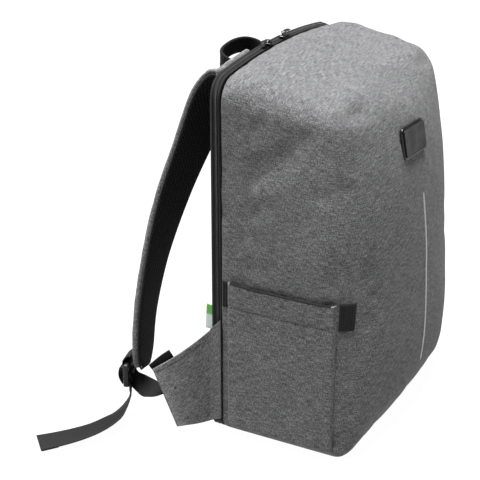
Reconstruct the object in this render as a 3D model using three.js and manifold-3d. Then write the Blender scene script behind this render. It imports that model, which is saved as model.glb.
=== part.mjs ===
// Laptop backpack with a clamshell zip, side pockets and shoulder straps.
// Millimetres, +Z up, front of the bag towards -Y, the wearer's back towards +Y.
// The origin is the centre of the base that the bag stands on.
import * as THREE from 'three';
import { mergeVertices } from 'three/addons/utils/BufferGeometryUtils.js';
import Module from 'manifold-3d';

const wasm = await Module();
wasm.setup();

// ---- driving dimensions ----
const HEIGHT = 450;
const HALF_WIDTH = 152;
const DEPTH = 180;
const BACK_Y = DEPTH / 2;
const FRONT_Y = -DEPTH / 2;
const GAP = 0.3;

const WALL = 4;              // padded fabric wall of the shell
const EDGE_RADIUS = 28;      // soft edges of the upper body
const BASE_RADIUS = 14;      // tighter edges round the base
const TOP_TAPER = 0.2;       // share of the depth lost from base to top
const FRONT_BULGE = 28;      // how far the stuffed front stands out in its middle
const TOP_BULGE = 4;         // extra fullness of the front towards the top
const TOP_NARROW = 0.13;     // share of the width lost at the front's top corners
const BASE_TUCK = 10;        // how far the front draws in over its lowest part
const TUCK_HEIGHT = 60;
const CROWN = 12;            // rise of the top from its sides to its middle
const TOP_SLOPE = 31;        // fall of the top from back to front

const ZIP_BAND = 13;         // both zip tapes together, along Y
const TAPE_DEPTH = 5.6;
const TAPE_THICKNESS = 2.4;
const TAPE_INSET = 0.8;
const RIM_Y = BACK_Y - ZIP_BAND;
const ZIP_END_Z = 18;        // the zip stops here on both sides, above the fabric hinge
const PANEL_THICKNESS = 6.4;
const PANEL_INSET = TAPE_INSET + TAPE_THICKNESS + GAP;

const WEBBING = 25;          // webbing width
const WEB_THICKNESS = 1.6;

const POCKET = { frontY: -68, backY: 68, bottomZ: 12, topZ: 202, stand: 9, wall: 3 };
const GUSSET = { height: 34, length: 14, thickness: 1.6 };

const BOTTOM_BOARD = { thickness: 2.5, clear: 14, radius: 22 };
const STRIP = { stand: 1.3, width: 3.6, thickness: 0.6, heights: [74, 130, 190, 250, 305] };
// Moulded plate on the front, turned a little towards the left side.
const BADGE = { x: -10, z: 378, width: 56, height: 37, rim: 2, leanShare: 0.6, turn: -4 };
const BADGE_BASE = { radius: 5, stand: 2.6, thickness: 4 };
const BADGE_FACE = { radius: 4, stand: 6.9, thickness: 1.6 };

const BACK_PAD = { halfX: 112, bottomZ: 70, topZ: 398, thickness: 11, radius: 5 };
const SLEEVE = { halfX: 128, frontY: 60, bottomZ: 22, topZ: 290, wall: 3.5, backWall: 2.5, radius: 4 };
const LABEL = { thickness: 1.2, reach: 10, bottomZ: 137, topZ: 166 };       // tag in the back seam
const HANDLE = { foot: [27, BACK_Y + 8, 406], leg: [31, BACK_Y + 26, 411], bend: [41, BACK_Y + 41, 422],
  grip: [34, BACK_Y + 51, 427], middle: [0, BACK_Y + 55, 431], width: 12, thickness: 3.5 };
const ANCHOR = { innerX: 43, outerX: 114, bottomZ: 402, topZ: 430, thickness: 8, radius: 3 };
const BUCKLE = { centre: [-160, 203, 54], width: 34, height: 26, thickness: 5, bar: 4, turn: 14 };
const LOOP = { width: WEBBING - 2, thickness: 1.4 };
const KEEPER = { behind: 3.6, width: 18, thickness: 1.6 };                  // webbing on the wing's top edge
const SLIDER = { length: 11, width: 9, height: 4.5, radius: 1.6, clear: 0.8 };
const PULL = { length: 17, width: 7, thickness: 1.6, rise: 0.5, radius: 0.7 };

const PAD_WIDTH_TOP = 70;
const PAD_WIDTH_END = 58;
const PAD_THICKNESS = 9;
const MESH_THICKNESS = 3;
const MESH_START = 0.13;      // share of the strap's length above the mesh
const SKIN_GAP = 1;           // between the pad and its mesh, which twist together

// ---- materials ----
const cloth = (color, roughness = 0.95) => new THREE.MeshStandardMaterial({ color, roughness, metalness: 0 });
const greyCloth = () => cloth(0x6c6c6e);
const lining = () => cloth(0x3a3a3c);
const blackMesh = () => cloth(0x1c1c1d);
const blackTape = () => cloth(0x343435);
const webbing = () => cloth(0x424244, 0.85);
const blackPlastic = () => cloth(0x151516, 0.5);
const greyPlastic = () => cloth(0x474749, 0.45);
const metal = () => new THREE.MeshStandardMaterial({ color: 0x3c3c3e, roughness: 0.35, metalness: 0.9 });

const backpack = new THREE.Group();

function addNode(name, geometry, material) {
  const mesh = new THREE.Mesh(geometry, material);
  mesh.name = name;
  backpack.add(mesh);
  return mesh;
}

// ---- solids ----
function weld(geometry) {
  const bare = geometry.clone();
  bare.deleteAttribute('normal');
  bare.deleteAttribute('uv');
  return mergeVertices(bare, 1e-4);
}

function toSolid(geometry) {
  const merged = weld(geometry);
  const vertProperties = Float32Array.from(merged.attributes.position.array);
  const triVerts = Uint32Array.from(merged.index.array);
  return new wasm.Manifold(new wasm.Mesh({ numProp: 3, vertProperties, triVerts }));
}

function toGeometry(solid) {
  const mesh = solid.getMesh();
  const geometry = new THREE.BufferGeometry();
  geometry.setAttribute('position', new THREE.BufferAttribute(Float32Array.from(mesh.vertProperties), 3));
  geometry.setIndex(Array.from(mesh.triVerts));
  geometry.computeVertexNormals();
  return geometry;
}

function moveVertices(geometry, move) {
  const position = geometry.attributes.position;
  const point = new THREE.Vector3();
  for (let i = 0; i < position.count; i += 1) {
    point.fromBufferAttribute(position, i);
    move(point);
    position.setXYZ(i, point.x, point.y, point.z);
  }
  return geometry;
}

function mirrorX(geometry) {
  const mirrored = geometry.clone();
  mirrored.scale(-1, 1, 1);
  const index = mirrored.index.array;
  for (let i = 0; i < index.length; i += 3) {
    [index[i], index[i + 1]] = [index[i + 1], index[i]];
  }
  mirrored.computeVertexNormals();
  return mirrored;
}

// A box from one corner to the other.
function block([x0, y0, z0], [x1, y1, z1]) {
  const geometry = new THREE.BoxGeometry(x1 - x0, y1 - y0, z1 - z0);
  geometry.translate((x0 + x1) / 2, (y0 + y1) / 2, (z0 + z1) / 2);
  return geometry;
}

// A box whose edges are rounded by radiusAt(z), with more vertices near its edges.
function softBlock([x0, y0, z0], [x1, y1, z1], radiusAt, [nx, ny, nz]) {
  const half = new THREE.Vector3((x1 - x0) / 2, (y1 - y0) / 2, (z1 - z0) / 2);
  const centre = new THREE.Vector3((x0 + x1) / 2, (y0 + y1) / 2, (z0 + z1) / 2);
  const crowd = (t) => Math.sign(t) * (1 - (1 - Math.abs(t)) ** 1.5);
  const geometry = weld(new THREE.BoxGeometry(2, 2, 2, nx, ny, nz));
  return moveVertices(geometry, (p) => {
    p.set(crowd(p.x), crowd(p.y), crowd(p.z)).multiply(half);
    const radius = Math.min(radiusAt(p.z + centre.z), half.x, half.y, half.z);
    const core = half.clone().subScalar(radius);
    const anchor = p.clone().clamp(core.clone().negate(), core);
    const out = p.clone().sub(anchor);
    if (out.lengthSq() > 0) {
      out.setLength(radius);
    }
    p.copy(anchor).add(out).add(centre);
  });
}

// A flat strap bent along a curve. across(t) is its width direction, width(t) its width.
// offset moves it along its own normal, which is tangent x across, and from skips the curve's start.
function ribbon({ curve, across, width, thickness, offset = 0, from = 0, steps = 16, rows = 2 }) {
  const geometry = weld(new THREE.BoxGeometry(1, 1, 1, rows, 1, steps));
  return moveVertices(geometry, (p) => {
    const t = THREE.MathUtils.lerp(from, 1, p.z + 0.5);
    const tangent = curve.getTangent(t);
    const side = across(t).clone();
    side.addScaledVector(tangent, -side.dot(tangent)).normalize();
    const normal = new THREE.Vector3().crossVectors(tangent, side);
    const onCurve = curve.getPoint(t);
    onCurve.addScaledVector(side, p.x * width(t));
    onCurve.addScaledVector(normal, offset + p.y * thickness);
    p.copy(onCurve);
  });
}

const points = (list) => list.map(([x, y, z]) => new THREE.Vector3(x, y, z));
const smoothCurve = (list) => new THREE.CatmullRomCurve3(points(list), false, 'centripetal');
const turned = (degrees) => {
  const angle = THREE.MathUtils.degToRad(degrees);
  return new THREE.Vector3(Math.cos(angle), Math.sin(angle), 0);
};

// ---- form of the bag ----
// Leans the front back, lets the stuffed front bulge, narrows its top and slopes and crowns the top.
function bagForm(p) {
  const s = THREE.MathUtils.clamp(p.z / HEIGHT, 0, 1);
  const side = Math.min(Math.abs(p.x) / HALF_WIDTH, 1);
  const forward = Math.max((BACK_Y - p.y) / DEPTH, 0);
  const fullness = FRONT_BULGE * (1 - (2 * s - 1) ** 4) + TOP_BULGE * s * s;
  const depth = forward * DEPTH * (1 - TOP_TAPER * s * s);
  const tuck = BASE_TUCK * Math.max(1 - p.z / TUCK_HEIGHT, 0) ** 2;
  if (forward > 0) {
    p.y = BACK_Y - depth - (fullness * (1 - side * side) - tuck) * forward * forward;
  }
  p.x *= 1 - TOP_NARROW * s ** 4 * forward ** 2;
  p.z -= s * s * (CROWN * side * side + TOP_SLOPE * forward);
}

const bagRadius = (inset) => (z) => {
  const grow = THREE.MathUtils.smoothstep(z, 0, HEIGHT * 0.3);
  return Math.max(THREE.MathUtils.lerp(BASE_RADIUS, EDGE_RADIUS, grow) - inset, 2);
};

// The bag's body shrunk by inset on every face, running on past the back so that it can be cut there.
function bagBody(inset) {
  const pastBack = BACK_Y + 2 * EDGE_RADIUS;
  const low = [-HALF_WIDTH + inset, FRONT_Y + inset, inset];
  const high = [HALF_WIDTH - inset, pastBack, HEIGHT - inset];
  return toSolid(moveVertices(softBlock(low, high, bagRadius(inset), [12, 10, 14]), bagForm));
}

const slab = (y0, y1, z0 = -50, z1 = HEIGHT + 50) =>
  toSolid(block([-HALF_WIDTH - 80, y0, z0], [HALF_WIDTH + 80, y1, z1]));

const bandRing = () => bagBody(TAPE_INSET).subtract(bagBody(TAPE_INSET + TAPE_THICKNESS));

// ---- shell ----
function outerShell() {
  const cavity = bagBody(WALL);
  return toGeometry(bagBody(0).subtract(cavity).intersect(slab(FRONT_Y - 80, RIM_Y)));
}

function bottomBoard() {
  const { thickness, clear, radius } = BOTTOM_BOARD;
  const [halfX, y0, y1] = [HALF_WIDTH - WALL - clear, FRONT_Y + WALL + BASE_TUCK + clear, RIM_Y - WALL];
  const outline = new THREE.Shape();
  outline.moveTo(-halfX, y1);
  outline.lineTo(-halfX, y0 + radius);
  outline.absarc(-halfX + radius, y0 + radius, radius, Math.PI, 1.5 * Math.PI, false);
  outline.absarc(halfX - radius, y0 + radius, radius, 1.5 * Math.PI, 2 * Math.PI, false);
  outline.lineTo(halfX, y1);
  outline.closePath();
  const board = new THREE.ExtrudeGeometry(outline, { depth: thickness, bevelEnabled: false, curveSegments: 5 });
  board.translate(0, 0, WALL + GAP);
  return weld(board);
}

function frontSurface(x, z) {
  const p = new THREE.Vector3(x, FRONT_Y, z);
  bagForm(p);
  return p;
}

function reflectiveStrip() {
  const curve = smoothCurve(STRIP.heights.map((z) => {
    const p = frontSurface(0, z);
    return [p.x, p.y - STRIP.stand, p.z];
  }));
  return ribbon({ curve, across: () => turned(0), width: () => STRIP.width, thickness: STRIP.thickness,
    steps: 14, rows: 1 });
}

// A rounded plate that leans with the front, its back face `stand` off it.
function frontPlate(width, height, { radius, stand, thickness }) {
  const bevel = 0.4;
  const shape = new THREE.Shape();
  const [a, b] = [width / 2 - radius, height / 2 - radius];
  shape.absarc(a, b, radius, 0, Math.PI / 2, false);
  shape.absarc(-a, b, radius, Math.PI / 2, Math.PI, false);
  shape.absarc(-a, -b, radius, Math.PI, 1.5 * Math.PI, false);
  shape.absarc(a, -b, radius, 1.5 * Math.PI, 2 * Math.PI, false);
  shape.closePath();
  const options = { depth: thickness - 2 * bevel, bevelEnabled: true, bevelThickness: bevel, bevelSize: bevel,
    bevelSegments: 1, curveSegments: 4 };
  const plate = new THREE.ExtrudeGeometry(shape, options);
  const top = frontSurface(0, BADGE.z + height / 2);
  const bottom = frontSurface(0, BADGE.z - height / 2);
  const lean = BADGE.leanShare * Math.atan2(top.y - bottom.y, top.z - bottom.z);
  plate.translate(0, 0, stand + bevel);
  plate.rotateX(Math.PI / 2 - lean);
  plate.rotateZ(THREE.MathUtils.degToRad(BADGE.turn));
  plate.translate(BADGE.x, (top.y + bottom.y) / 2, (top.z + bottom.z) / 2);
  return weld(plate);
}

addNode('outer_shell', outerShell(), greyCloth());
addNode('bottom_board', bottomBoard(), lining());
addNode('zipper_tape_outer',
  toGeometry(bandRing().intersect(slab(RIM_Y + GAP, RIM_Y + GAP + TAPE_DEPTH, ZIP_END_Z))), blackTape());
addNode('hinge_binding',
  toGeometry(bandRing().intersect(slab(RIM_Y + GAP, RIM_Y + GAP + TAPE_DEPTH, -5, ZIP_END_Z - GAP))),
  blackTape());
addNode('reflective_strip', reflectiveStrip(), cloth(0xb4b4b2, 0.35));
addNode('badge_base', frontPlate(BADGE.width, BADGE.height, BADGE_BASE), blackPlastic());
addNode('badge_plate', frontPlate(BADGE.width - 2 * BADGE.rim, BADGE.height - 2 * BADGE.rim, BADGE_FACE),
  greyPlastic());

// ---- side pockets ----
function sidePocket() {
  const inner = -HALF_WIDTH - GAP;
  const outer = inner - POCKET.stand;
  const body = softBlock([outer, POCKET.frontY, POCKET.bottomZ], [inner + 12, POCKET.backY, POCKET.topZ + 6],
    () => 4, [3, 6, 6]);
  const hollow = block([outer + POCKET.wall, POCKET.frontY + POCKET.wall, POCKET.bottomZ + POCKET.wall],
    [inner + 20, POCKET.backY - POCKET.wall, POCKET.topZ + 20]);
  const keep = block([outer - 5, -200, 0], [inner, 200, POCKET.topZ]);
  return toGeometry(toSolid(body).subtract(toSolid(hollow)).intersect(toSolid(keep)));
}

// Elastic that lies on the shell beside the pocket's top edge.
function pocketGusset(y0, y1) {
  const skin = bagBody(-0.5 - GUSSET.thickness).subtract(bagBody(-0.5));
  const keep = block([-HALF_WIDTH - 20, y0, POCKET.topZ - GUSSET.height], [-60, y1, POCKET.topZ - 1]);
  return toGeometry(skin.intersect(toSolid(keep)));
}

const sided = (name, geometry, material) => {
  addNode(`${name}_left`, geometry, material());
  addNode(`${name}_right`, mirrorX(geometry), material());
};

sided('side_pocket', sidePocket(), greyCloth);
sided('pocket_gusset_front', pocketGusset(POCKET.frontY - 0.6 - GUSSET.length, POCKET.frontY - 0.6), blackMesh);
sided('pocket_gusset_back', pocketGusset(POCKET.backY + 0.6, RIM_Y - 0.6), blackMesh);

// ---- back panel ----
const PANEL_FRONT_Y = BACK_Y - PANEL_THICKNESS;

function backPanel() {
  return toGeometry(bagBody(PANEL_INSET).intersect(slab(PANEL_FRONT_Y, BACK_Y)));
}

function backPadding() {
  const { halfX, bottomZ, topZ, thickness, radius } = BACK_PAD;
  const low = [-halfX, BACK_Y + GAP, bottomZ];
  return weld(softBlock(low, [halfX, BACK_Y + thickness, topZ], () => radius, [6, 2, 8]));
}

function laptopSleeve() {
  const { halfX, frontY, bottomZ, topZ, wall, backWall, radius } = SLEEVE;
  const backY = PANEL_FRONT_Y - GAP;
  const body = softBlock([-halfX, frontY, bottomZ], [halfX, backY, topZ + 2 * radius], () => radius, [4, 3, 4]);
  const hollow = block([-halfX + wall, frontY + wall, bottomZ + wall],
    [halfX - wall, backY - backWall, topZ + 5 * radius]);
  const keep = block([-HALF_WIDTH, 0, 0], [HALF_WIDTH, DEPTH, topZ]);
  return toGeometry(toSolid(body).subtract(toSolid(hollow)).intersect(toSolid(keep)));
}

function sideLabel() {
  const x = -HALF_WIDTH + WALL;
  return block([x, BACK_Y + GAP, LABEL.bottomZ], [x + LABEL.thickness, BACK_Y + LABEL.reach, LABEL.topZ]);
}

addNode('back_panel', backPanel(), greyCloth());
addNode('back_padding', backPadding(), blackMesh());
addNode('laptop_sleeve', laptopSleeve(), lining());
addNode('zipper_tape_inner',
  toGeometry(bandRing().intersect(slab(RIM_Y + 2 * GAP + TAPE_DEPTH, BACK_Y - GAP, ZIP_END_Z))), blackTape());
addNode('side_label', sideLabel(), cloth(0xd9e8d2));

// ---- carry handle ----
function carryHandle() {
  const half = [HANDLE.foot, HANDLE.leg, HANDLE.bend, HANDLE.grip];
  const otherHalf = half.map(([x, y, z]) => [-x, y, z]).reverse();
  const curve = smoothCurve([...half, HANDLE.middle, ...otherHalf]);
  return ribbon({ curve, across: () => new THREE.Vector3(0, 0, 1), width: () => HANDLE.width,
    thickness: HANDLE.thickness, steps: 28, rows: 1 });
}
addNode('carry_handle', carryHandle(), webbing());

// ---- shoulder straps ----
const STRAP = smoothCurve([
  [-81, 103, 430],
  [-84, 115, 426],
  [-92, 133, 402],
  [-102, 152, 344],
  [-117, 166, 272],
  [-133, 174, 200],
  [-146, 177, 130],
  [-156, 176, 64],
]);
// The strap leaves the panel square on, then flares outwards and straightens towards its end.
const strapAcross = (t) =>
  turned(THREE.MathUtils.lerp(-26, 4, Math.min(t * 1.3, 1)) + 20 * Math.max(1 - t / 0.15, 0));
const roundedEnd = (t) => Math.sqrt(Math.max(1 - (Math.max(t - 0.93, 0) / 0.075) ** 2, 0));
const padWidth = (t) => THREE.MathUtils.lerp(PAD_WIDTH_TOP, PAD_WIDTH_END, t) * (0.35 + 0.65 * roundedEnd(t));

function strapPad() {
  return ribbon({ curve: STRAP, across: strapAcross, width: padWidth, thickness: PAD_THICKNESS,
    offset: -PAD_THICKNESS / 2 - SKIN_GAP / 2, steps: 30 });
}

function strapMesh() {
  return ribbon({ curve: STRAP, across: strapAcross, width: (t) => padWidth(t) - 6, thickness: MESH_THICKNESS,
    offset: MESH_THICKNESS / 2 + SKIN_GAP / 2, from: MESH_START, steps: 26 });
}

function strapAnchor() {
  const { innerX, outerX, bottomZ, topZ, thickness, radius } = ANCHOR;
  const low = [-outerX, BACK_Y + GAP, bottomZ];
  return weld(softBlock(low, [-innerX, BACK_Y + thickness, topZ], () => radius, [4, 2, 3]));
}

// Ladder lock: a frame with three bars and two slots.
function ladderLock() {
  const { width, height, bar, thickness } = BUCKLE;
  const frame = new THREE.Shape();
  frame.moveTo(-width / 2, -height / 2);
  frame.lineTo(width / 2, -height / 2);
  frame.lineTo(width / 2, height / 2);
  frame.lineTo(-width / 2, height / 2);
  frame.closePath();
  const slotHeight = (height - 3 * bar) / 2;
  for (const low of [-height / 2 + bar, bar / 2]) {
    const slot = new THREE.Path();
    slot.moveTo(-width / 2 + bar, low);
    slot.lineTo(-width / 2 + bar, low + slotHeight);
    slot.lineTo(width / 2 - bar, low + slotHeight);
    slot.lineTo(width / 2 - bar, low);
    slot.closePath();
    frame.holes.push(slot);
  }
  const lock = new THREE.ExtrudeGeometry(frame, { depth: thickness, bevelEnabled: false });
  lock.translate(0, 0, -thickness / 2);
  lock.rotateX(Math.PI / 2);
  lock.rotateZ(THREE.MathUtils.degToRad(BUCKLE.turn));
  lock.translate(...BUCKLE.centre);
  return weld(lock);
}

// Loop that hangs the ladder lock from the back of the pad's lower end.
function strapLoop() {
  const [x, y, z] = BUCKLE.centre;
  const topBar = z + BUCKLE.height / 2 - BUCKLE.bar / 2;
  const curve = smoothCurve([
    [x + 5, y - 12, topBar + 26],
    [x + 2, y - 8, topBar + 12],
    [x, y - 4.8, topBar + 3],
    [x, y - 4.2, topBar - 2.5],
    [x, y, topBar - 5],
    [x, y + 4.2, topBar - 2.5],
    [x, y + 4.8, topBar + 3],
    [x + 2, y, topBar + 15],
    [x + 5, y - 8, topBar + 29],
  ]);
  return ribbon({ curve, across: () => turned(BUCKLE.turn), width: () => LOOP.width, thickness: LOOP.thickness,
    steps: 30, rows: 1 });
}

sided('strap_pad', strapPad(), greyCloth);
sided('strap_mesh', strapMesh(), blackMesh);
sided('strap_anchor', strapAnchor(), greyCloth);
sided('ladder_lock', ladderLock(), blackPlastic);
sided('strap_loop', strapLoop(), webbing);

// ---- wings, lower webbing and tails ----
const WING = {
  rootTop: new THREE.Vector3(-150, BACK_Y + 3.5, 146),
  rootBottom: new THREE.Vector3(-150, BACK_Y + 3.5, 18),
  tipTop: new THREE.Vector3(-192, 150, 85),
  tipBottom: new THREE.Vector3(-193, 116, 16),
  thickness: 2.4,
  bow: 7,
};
const WING_OUT = new THREE.Vector3(-0.78, -0.62, 0);
const UP_THE_WING = new THREE.Vector3(-0.05, 0.3, 1);

// Four-cornered cloth: u runs from root to tip, v from the top edge to the bottom edge.
function wingPoint(u, v, offset) {
  const top = WING.rootTop.clone().lerp(WING.tipTop, u);
  const bottom = WING.rootBottom.clone().lerp(WING.tipBottom, u);
  const bow = WING.bow * Math.sin(Math.PI * u);
  return top.lerp(bottom, v).addScaledVector(WING_OUT, offset - bow);
}

function wing() {
  const geometry = weld(new THREE.BoxGeometry(1, 1, 1, 5, 5, 1));
  return moveVertices(geometry, (p) => {
    p.copy(wingPoint(p.x + 0.5, 0.5 - p.y, -p.z * WING.thickness));
  });
}

// Dark webbing sewn to the inner side of the wing's top edge.
function wingKeeper() {
  const curve = new THREE.CatmullRomCurve3([0.98, 0.8, 0.62].map((u) => wingPoint(u, 0, -KEEPER.behind)));
  return ribbon({ curve, across: () => new THREE.Vector3(0, 0, 1), width: () => KEEPER.width,
    thickness: KEEPER.thickness, steps: 5, rows: 1 });
}

function lowerWebbing() {
  const [x, y, z] = BUCKLE.centre;
  const sewn = wingPoint(0.78, 0.47, -4);
  const edge = wingPoint(1.03, 0.45, -6);
  const curve = smoothCurve([
    [x + 0.5, y - 7, z - 6],
    [x + 1, y - 17, z - 9],
    [(x + edge.x) / 2, (y + edge.y) / 2, z - 12],
    edge.toArray(),
    wingPoint(0.9, 0.46, -5).toArray(),
    sewn.toArray(),
  ]);
  return ribbon({ curve, across: () => UP_THE_WING, width: () => WEBBING, thickness: WEB_THICKNESS, steps: 15,
    rows: 1 });
}

function webbingTail() {
  const [x, y, z] = BUCKLE.centre;
  const curve = smoothCurve([
    [x - 1, y + 8, z - 15],
    [x - 7, y + 9, z - 27],
    [x - 26, y + 8, z - 37],
    [x - 62, y + 15, z - 40],
    [x - 96, y + 27, z - 42],
    [x - 130, y + 47, z - 43],
  ]);
  const across = (t) => new THREE.Vector3(0.82, 0.44, -0.3).lerp(new THREE.Vector3(0.42, 0.5, 0.65), t ** 3);
  return ribbon({ curve, across, width: () => WEBBING, thickness: WEB_THICKNESS, steps: 20, rows: 1 });
}

sided('strap_wing', wing(), greyCloth);
sided('wing_keeper', wingKeeper(), webbing);
sided('lower_webbing', lowerWebbing(), webbing);
sided('webbing_tail', webbingTail(), webbing);

// ---- zip sliders and pulls ----
const zipY = RIM_Y + 1.5 * GAP + TAPE_DEPTH;

function topOfZip(x) {
  const p = new THREE.Vector3(x, zipY, HEIGHT - TAPE_INSET);
  bagForm(p);
  return p.z;
}

for (const [side, x, direction] of [['left', -26, -1], ['right', 10, 1]]) {
  const z = topOfZip(x) + SLIDER.clear;
  const low = [x - SLIDER.length / 2, zipY - SLIDER.width / 2, z];
  const high = [x + SLIDER.length / 2, zipY + SLIDER.width / 2, z + SLIDER.height];
  addNode(`zip_slider_${side}`, weld(softBlock(low, high, () => SLIDER.radius, [3, 3, 3])), metal());
  // The pull turns on the slider's top, so that it can flip right over.
  const end = x + direction * PULL.length;
  const under = z + SLIDER.height + PULL.rise;
  const pull = softBlock([Math.min(x, end), zipY - PULL.width / 2, under],
    [Math.max(x, end), zipY + PULL.width / 2, under + PULL.thickness], () => PULL.radius, [3, 3, 2]);
  addNode(`zip_pull_${side}`, weld(pull), blackPlastic());
}

export default backpack;
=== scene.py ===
"""Grey laptop backpack standing on a pale studio floor.

Shapes are worked out in millimetres in the frame's axes and turned into metres when a mesh is made.
+Z is up, the front of the bag faces -Y and the wearer's back is towards +Y.
"""
import math

import bmesh
import bpy
import numpy as np
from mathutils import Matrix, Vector, noise
from mathutils.bvhtree import BVHTree


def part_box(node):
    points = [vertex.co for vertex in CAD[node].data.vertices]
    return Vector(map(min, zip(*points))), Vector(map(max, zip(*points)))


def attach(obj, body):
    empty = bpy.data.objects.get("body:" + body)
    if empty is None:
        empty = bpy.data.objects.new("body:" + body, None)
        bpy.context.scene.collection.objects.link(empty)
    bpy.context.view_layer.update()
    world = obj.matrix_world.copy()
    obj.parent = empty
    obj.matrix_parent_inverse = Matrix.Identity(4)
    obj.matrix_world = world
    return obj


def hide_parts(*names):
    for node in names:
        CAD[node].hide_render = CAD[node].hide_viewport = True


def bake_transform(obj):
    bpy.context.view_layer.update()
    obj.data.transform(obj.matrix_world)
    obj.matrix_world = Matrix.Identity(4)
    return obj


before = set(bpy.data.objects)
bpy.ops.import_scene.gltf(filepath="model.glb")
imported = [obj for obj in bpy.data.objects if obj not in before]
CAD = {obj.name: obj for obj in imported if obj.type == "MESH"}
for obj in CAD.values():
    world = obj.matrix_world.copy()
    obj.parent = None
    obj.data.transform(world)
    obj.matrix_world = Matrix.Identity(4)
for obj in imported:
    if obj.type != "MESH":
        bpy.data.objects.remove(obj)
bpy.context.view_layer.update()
MM = 0.001

# ---- sizes shared with the frame ----
HEIGHT, HALF_WIDTH, DEPTH = 450, 152, 180
BACK_Y, FRONT_Y = 90, -90
BASE_RADIUS, EDGE_RADIUS = 14, 23
TOP_TAPER, FRONT_BULGE, TOP_BULGE = 0.2, 28, 4
BASE_TUCK, TUCK_HEIGHT = 10, 60
CROWN, TOP_SLOPE, TOP_NARROW = 12, 31, 0.13
RIM_Y = 77
ZIP_END_Z = 18
WEBBING = 25


# ---------------------------------------------------------------- form of the bag
def bag_form(p):
    """Leans the front back, lets the stuffed front bulge, narrows its top and slopes and crowns the top."""
    x, y, z = p[..., 0], p[..., 1], p[..., 2]
    s = np.clip(z / HEIGHT, 0, 1)
    side = np.minimum(np.abs(x) / HALF_WIDTH, 1)
    forward = np.maximum((BACK_Y - y) / DEPTH, 0)
    fullness = FRONT_BULGE * (1 - (2 * s - 1) ** 4) + TOP_BULGE * s * s
    depth = forward * DEPTH * (1 - TOP_TAPER * s * s)
    tuck = BASE_TUCK * np.maximum(1 - z / TUCK_HEIGHT, 0) ** 2
    moved = BACK_Y - depth - (fullness * (1 - side * side) - tuck) * forward * forward
    out = p.astype(float).copy()
    out[..., 0] = x * (1 - TOP_NARROW * s ** 4 * forward ** 2)
    out[..., 1] = np.where(forward > 0, moved, y)
    out[..., 2] = z - s * s * (CROWN * side * side + TOP_SLOPE * forward)
    return out


def smoothstep(x, low, high):
    t = np.clip((np.asarray(x, float) - low) / (high - low), 0, 1)
    return t * t * (3 - 2 * t)


def lerp(a, b, t):
    return a + (b - a) * t


def bag_radius(z, inset):
    grow = smoothstep(z, 0, HEIGHT * 0.3)
    return np.maximum(lerp(BASE_RADIUS, EDGE_RADIUS, grow) - inset, 2)


def soft_box(low, high, radius_at, counts, form=None):
    """A box with rounded edges as (points, faces, uv per corner). uv is in millimetres on each side."""
    low, high = np.array(low, float), np.array(high, float)
    points, faces, uvs, base = [], [], [], 0
    for axis in range(3):
        a, b = (axis + 1) % 3, (axis + 2) % 3
        na, nb = counts[a] + 1, counts[b] + 1
        ga, gb = np.meshgrid(np.linspace(low[a], high[a], na), np.linspace(low[b], high[b], nb), indexing="ij")
        for sign in (0, 1):
            p = np.zeros((na, nb, 3))
            p[..., axis] = high[axis] if sign else low[axis]
            p[..., a], p[..., b] = ga, gb
            flat = p.reshape(-1, 3)
            index = np.arange(na * nb).reshape(na, nb)
            quad = np.stack([index[:-1, :-1], index[1:, :-1], index[1:, 1:], index[:-1, 1:]], -1).reshape(-1, 4)
            if not sign:
                quad = quad[:, ::-1]
            across, up = [(1, 2), (0, 2), (0, 1)][axis]
            uvs.append(flat[:, [across, up]][quad])
            faces.append(quad + base)
            points.append(flat)
            base += len(flat)
    points, faces, uvs = np.vstack(points), np.vstack(faces), np.vstack(uvs)
    _, first, inverse = np.unique(np.round(points, 4), axis=0, return_index=True, return_inverse=True)
    points, faces = points[first], inverse.reshape(-1)[faces]
    centre, half = (low + high) / 2, (high - low) / 2
    q = points - centre
    radius = np.minimum(radius_at(points[:, 2]) * np.ones(len(q)), half.min())
    core = half[None, :] - radius[:, None]
    anchor = np.clip(q, -core, core)
    out = q - anchor
    length = np.linalg.norm(out, axis=1, keepdims=True)
    out = np.where(length > 1e-9, out / np.maximum(length, 1e-9) * radius[:, None], out)
    points = anchor + out + centre
    return (form(points) if form else points), faces, uvs


# ---------------------------------------------------------------- meshes
def new_object(name, points, faces, uvs=None, material=None, slots=None):
    """A mesh object from points in millimetres. uvs is one (u, v) in millimetres for each face corner."""
    mesh = bpy.data.meshes.new(name)
    mesh.from_pydata((np.asarray(points, float) * MM).tolist(), [], [list(map(int, f)) for f in faces])
    if uvs is not None:
        layer = mesh.uv_layers.new(name="cloth")
        flat = np.concatenate([np.asarray(u, float).reshape(-1) for u in uvs]) * MM
        layer.data.foreach_set("uv", flat.astype(np.float32))
    mesh.polygons.foreach_set("use_smooth", [True] * len(mesh.polygons))
    mesh.update()
    obj = bpy.data.objects.new(name, mesh)
    bpy.context.scene.collection.objects.link(obj)
    for m in ([material] if material else []) + list(slots or []):
        mesh.materials.append(m)
    return obj


def read_vectors(mesh, kind):
    """The positions ("co") or directions ("normal") of a mesh's vertices, one row each."""
    out = np.zeros(len(mesh.vertices) * 3, np.float32)
    mesh.vertices.foreach_get(kind, out)
    return out.reshape(-1, 3).astype(float)


def coords(obj):
    return read_vectors(obj.data, "co") / MM


def set_coords(obj, points):
    obj.data.vertices.foreach_set("co", (np.asarray(points) * MM).astype(np.float32).reshape(-1))
    obj.data.update()


def normals(obj):
    return read_vectors(obj.data, "normal")


def edit(obj, work):
    bm = bmesh.new()
    bm.from_mesh(obj.data)
    work(bm)
    bm.to_mesh(obj.data)
    bm.free()
    obj.data.update()
    return obj


def face_out(obj):
    return edit(obj, lambda bm: bmesh.ops.recalc_face_normals(bm, faces=bm.faces))


def cut_away(obj, place, direction):
    """Removes what lies beyond a plane, which is given in metres."""
    return edit(obj, lambda bm: bmesh.ops.bisect_plane(
        bm, geom=bm.verts[:] + bm.edges[:] + bm.faces[:], plane_co=place, plane_no=direction,
        clear_outer=True))


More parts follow.
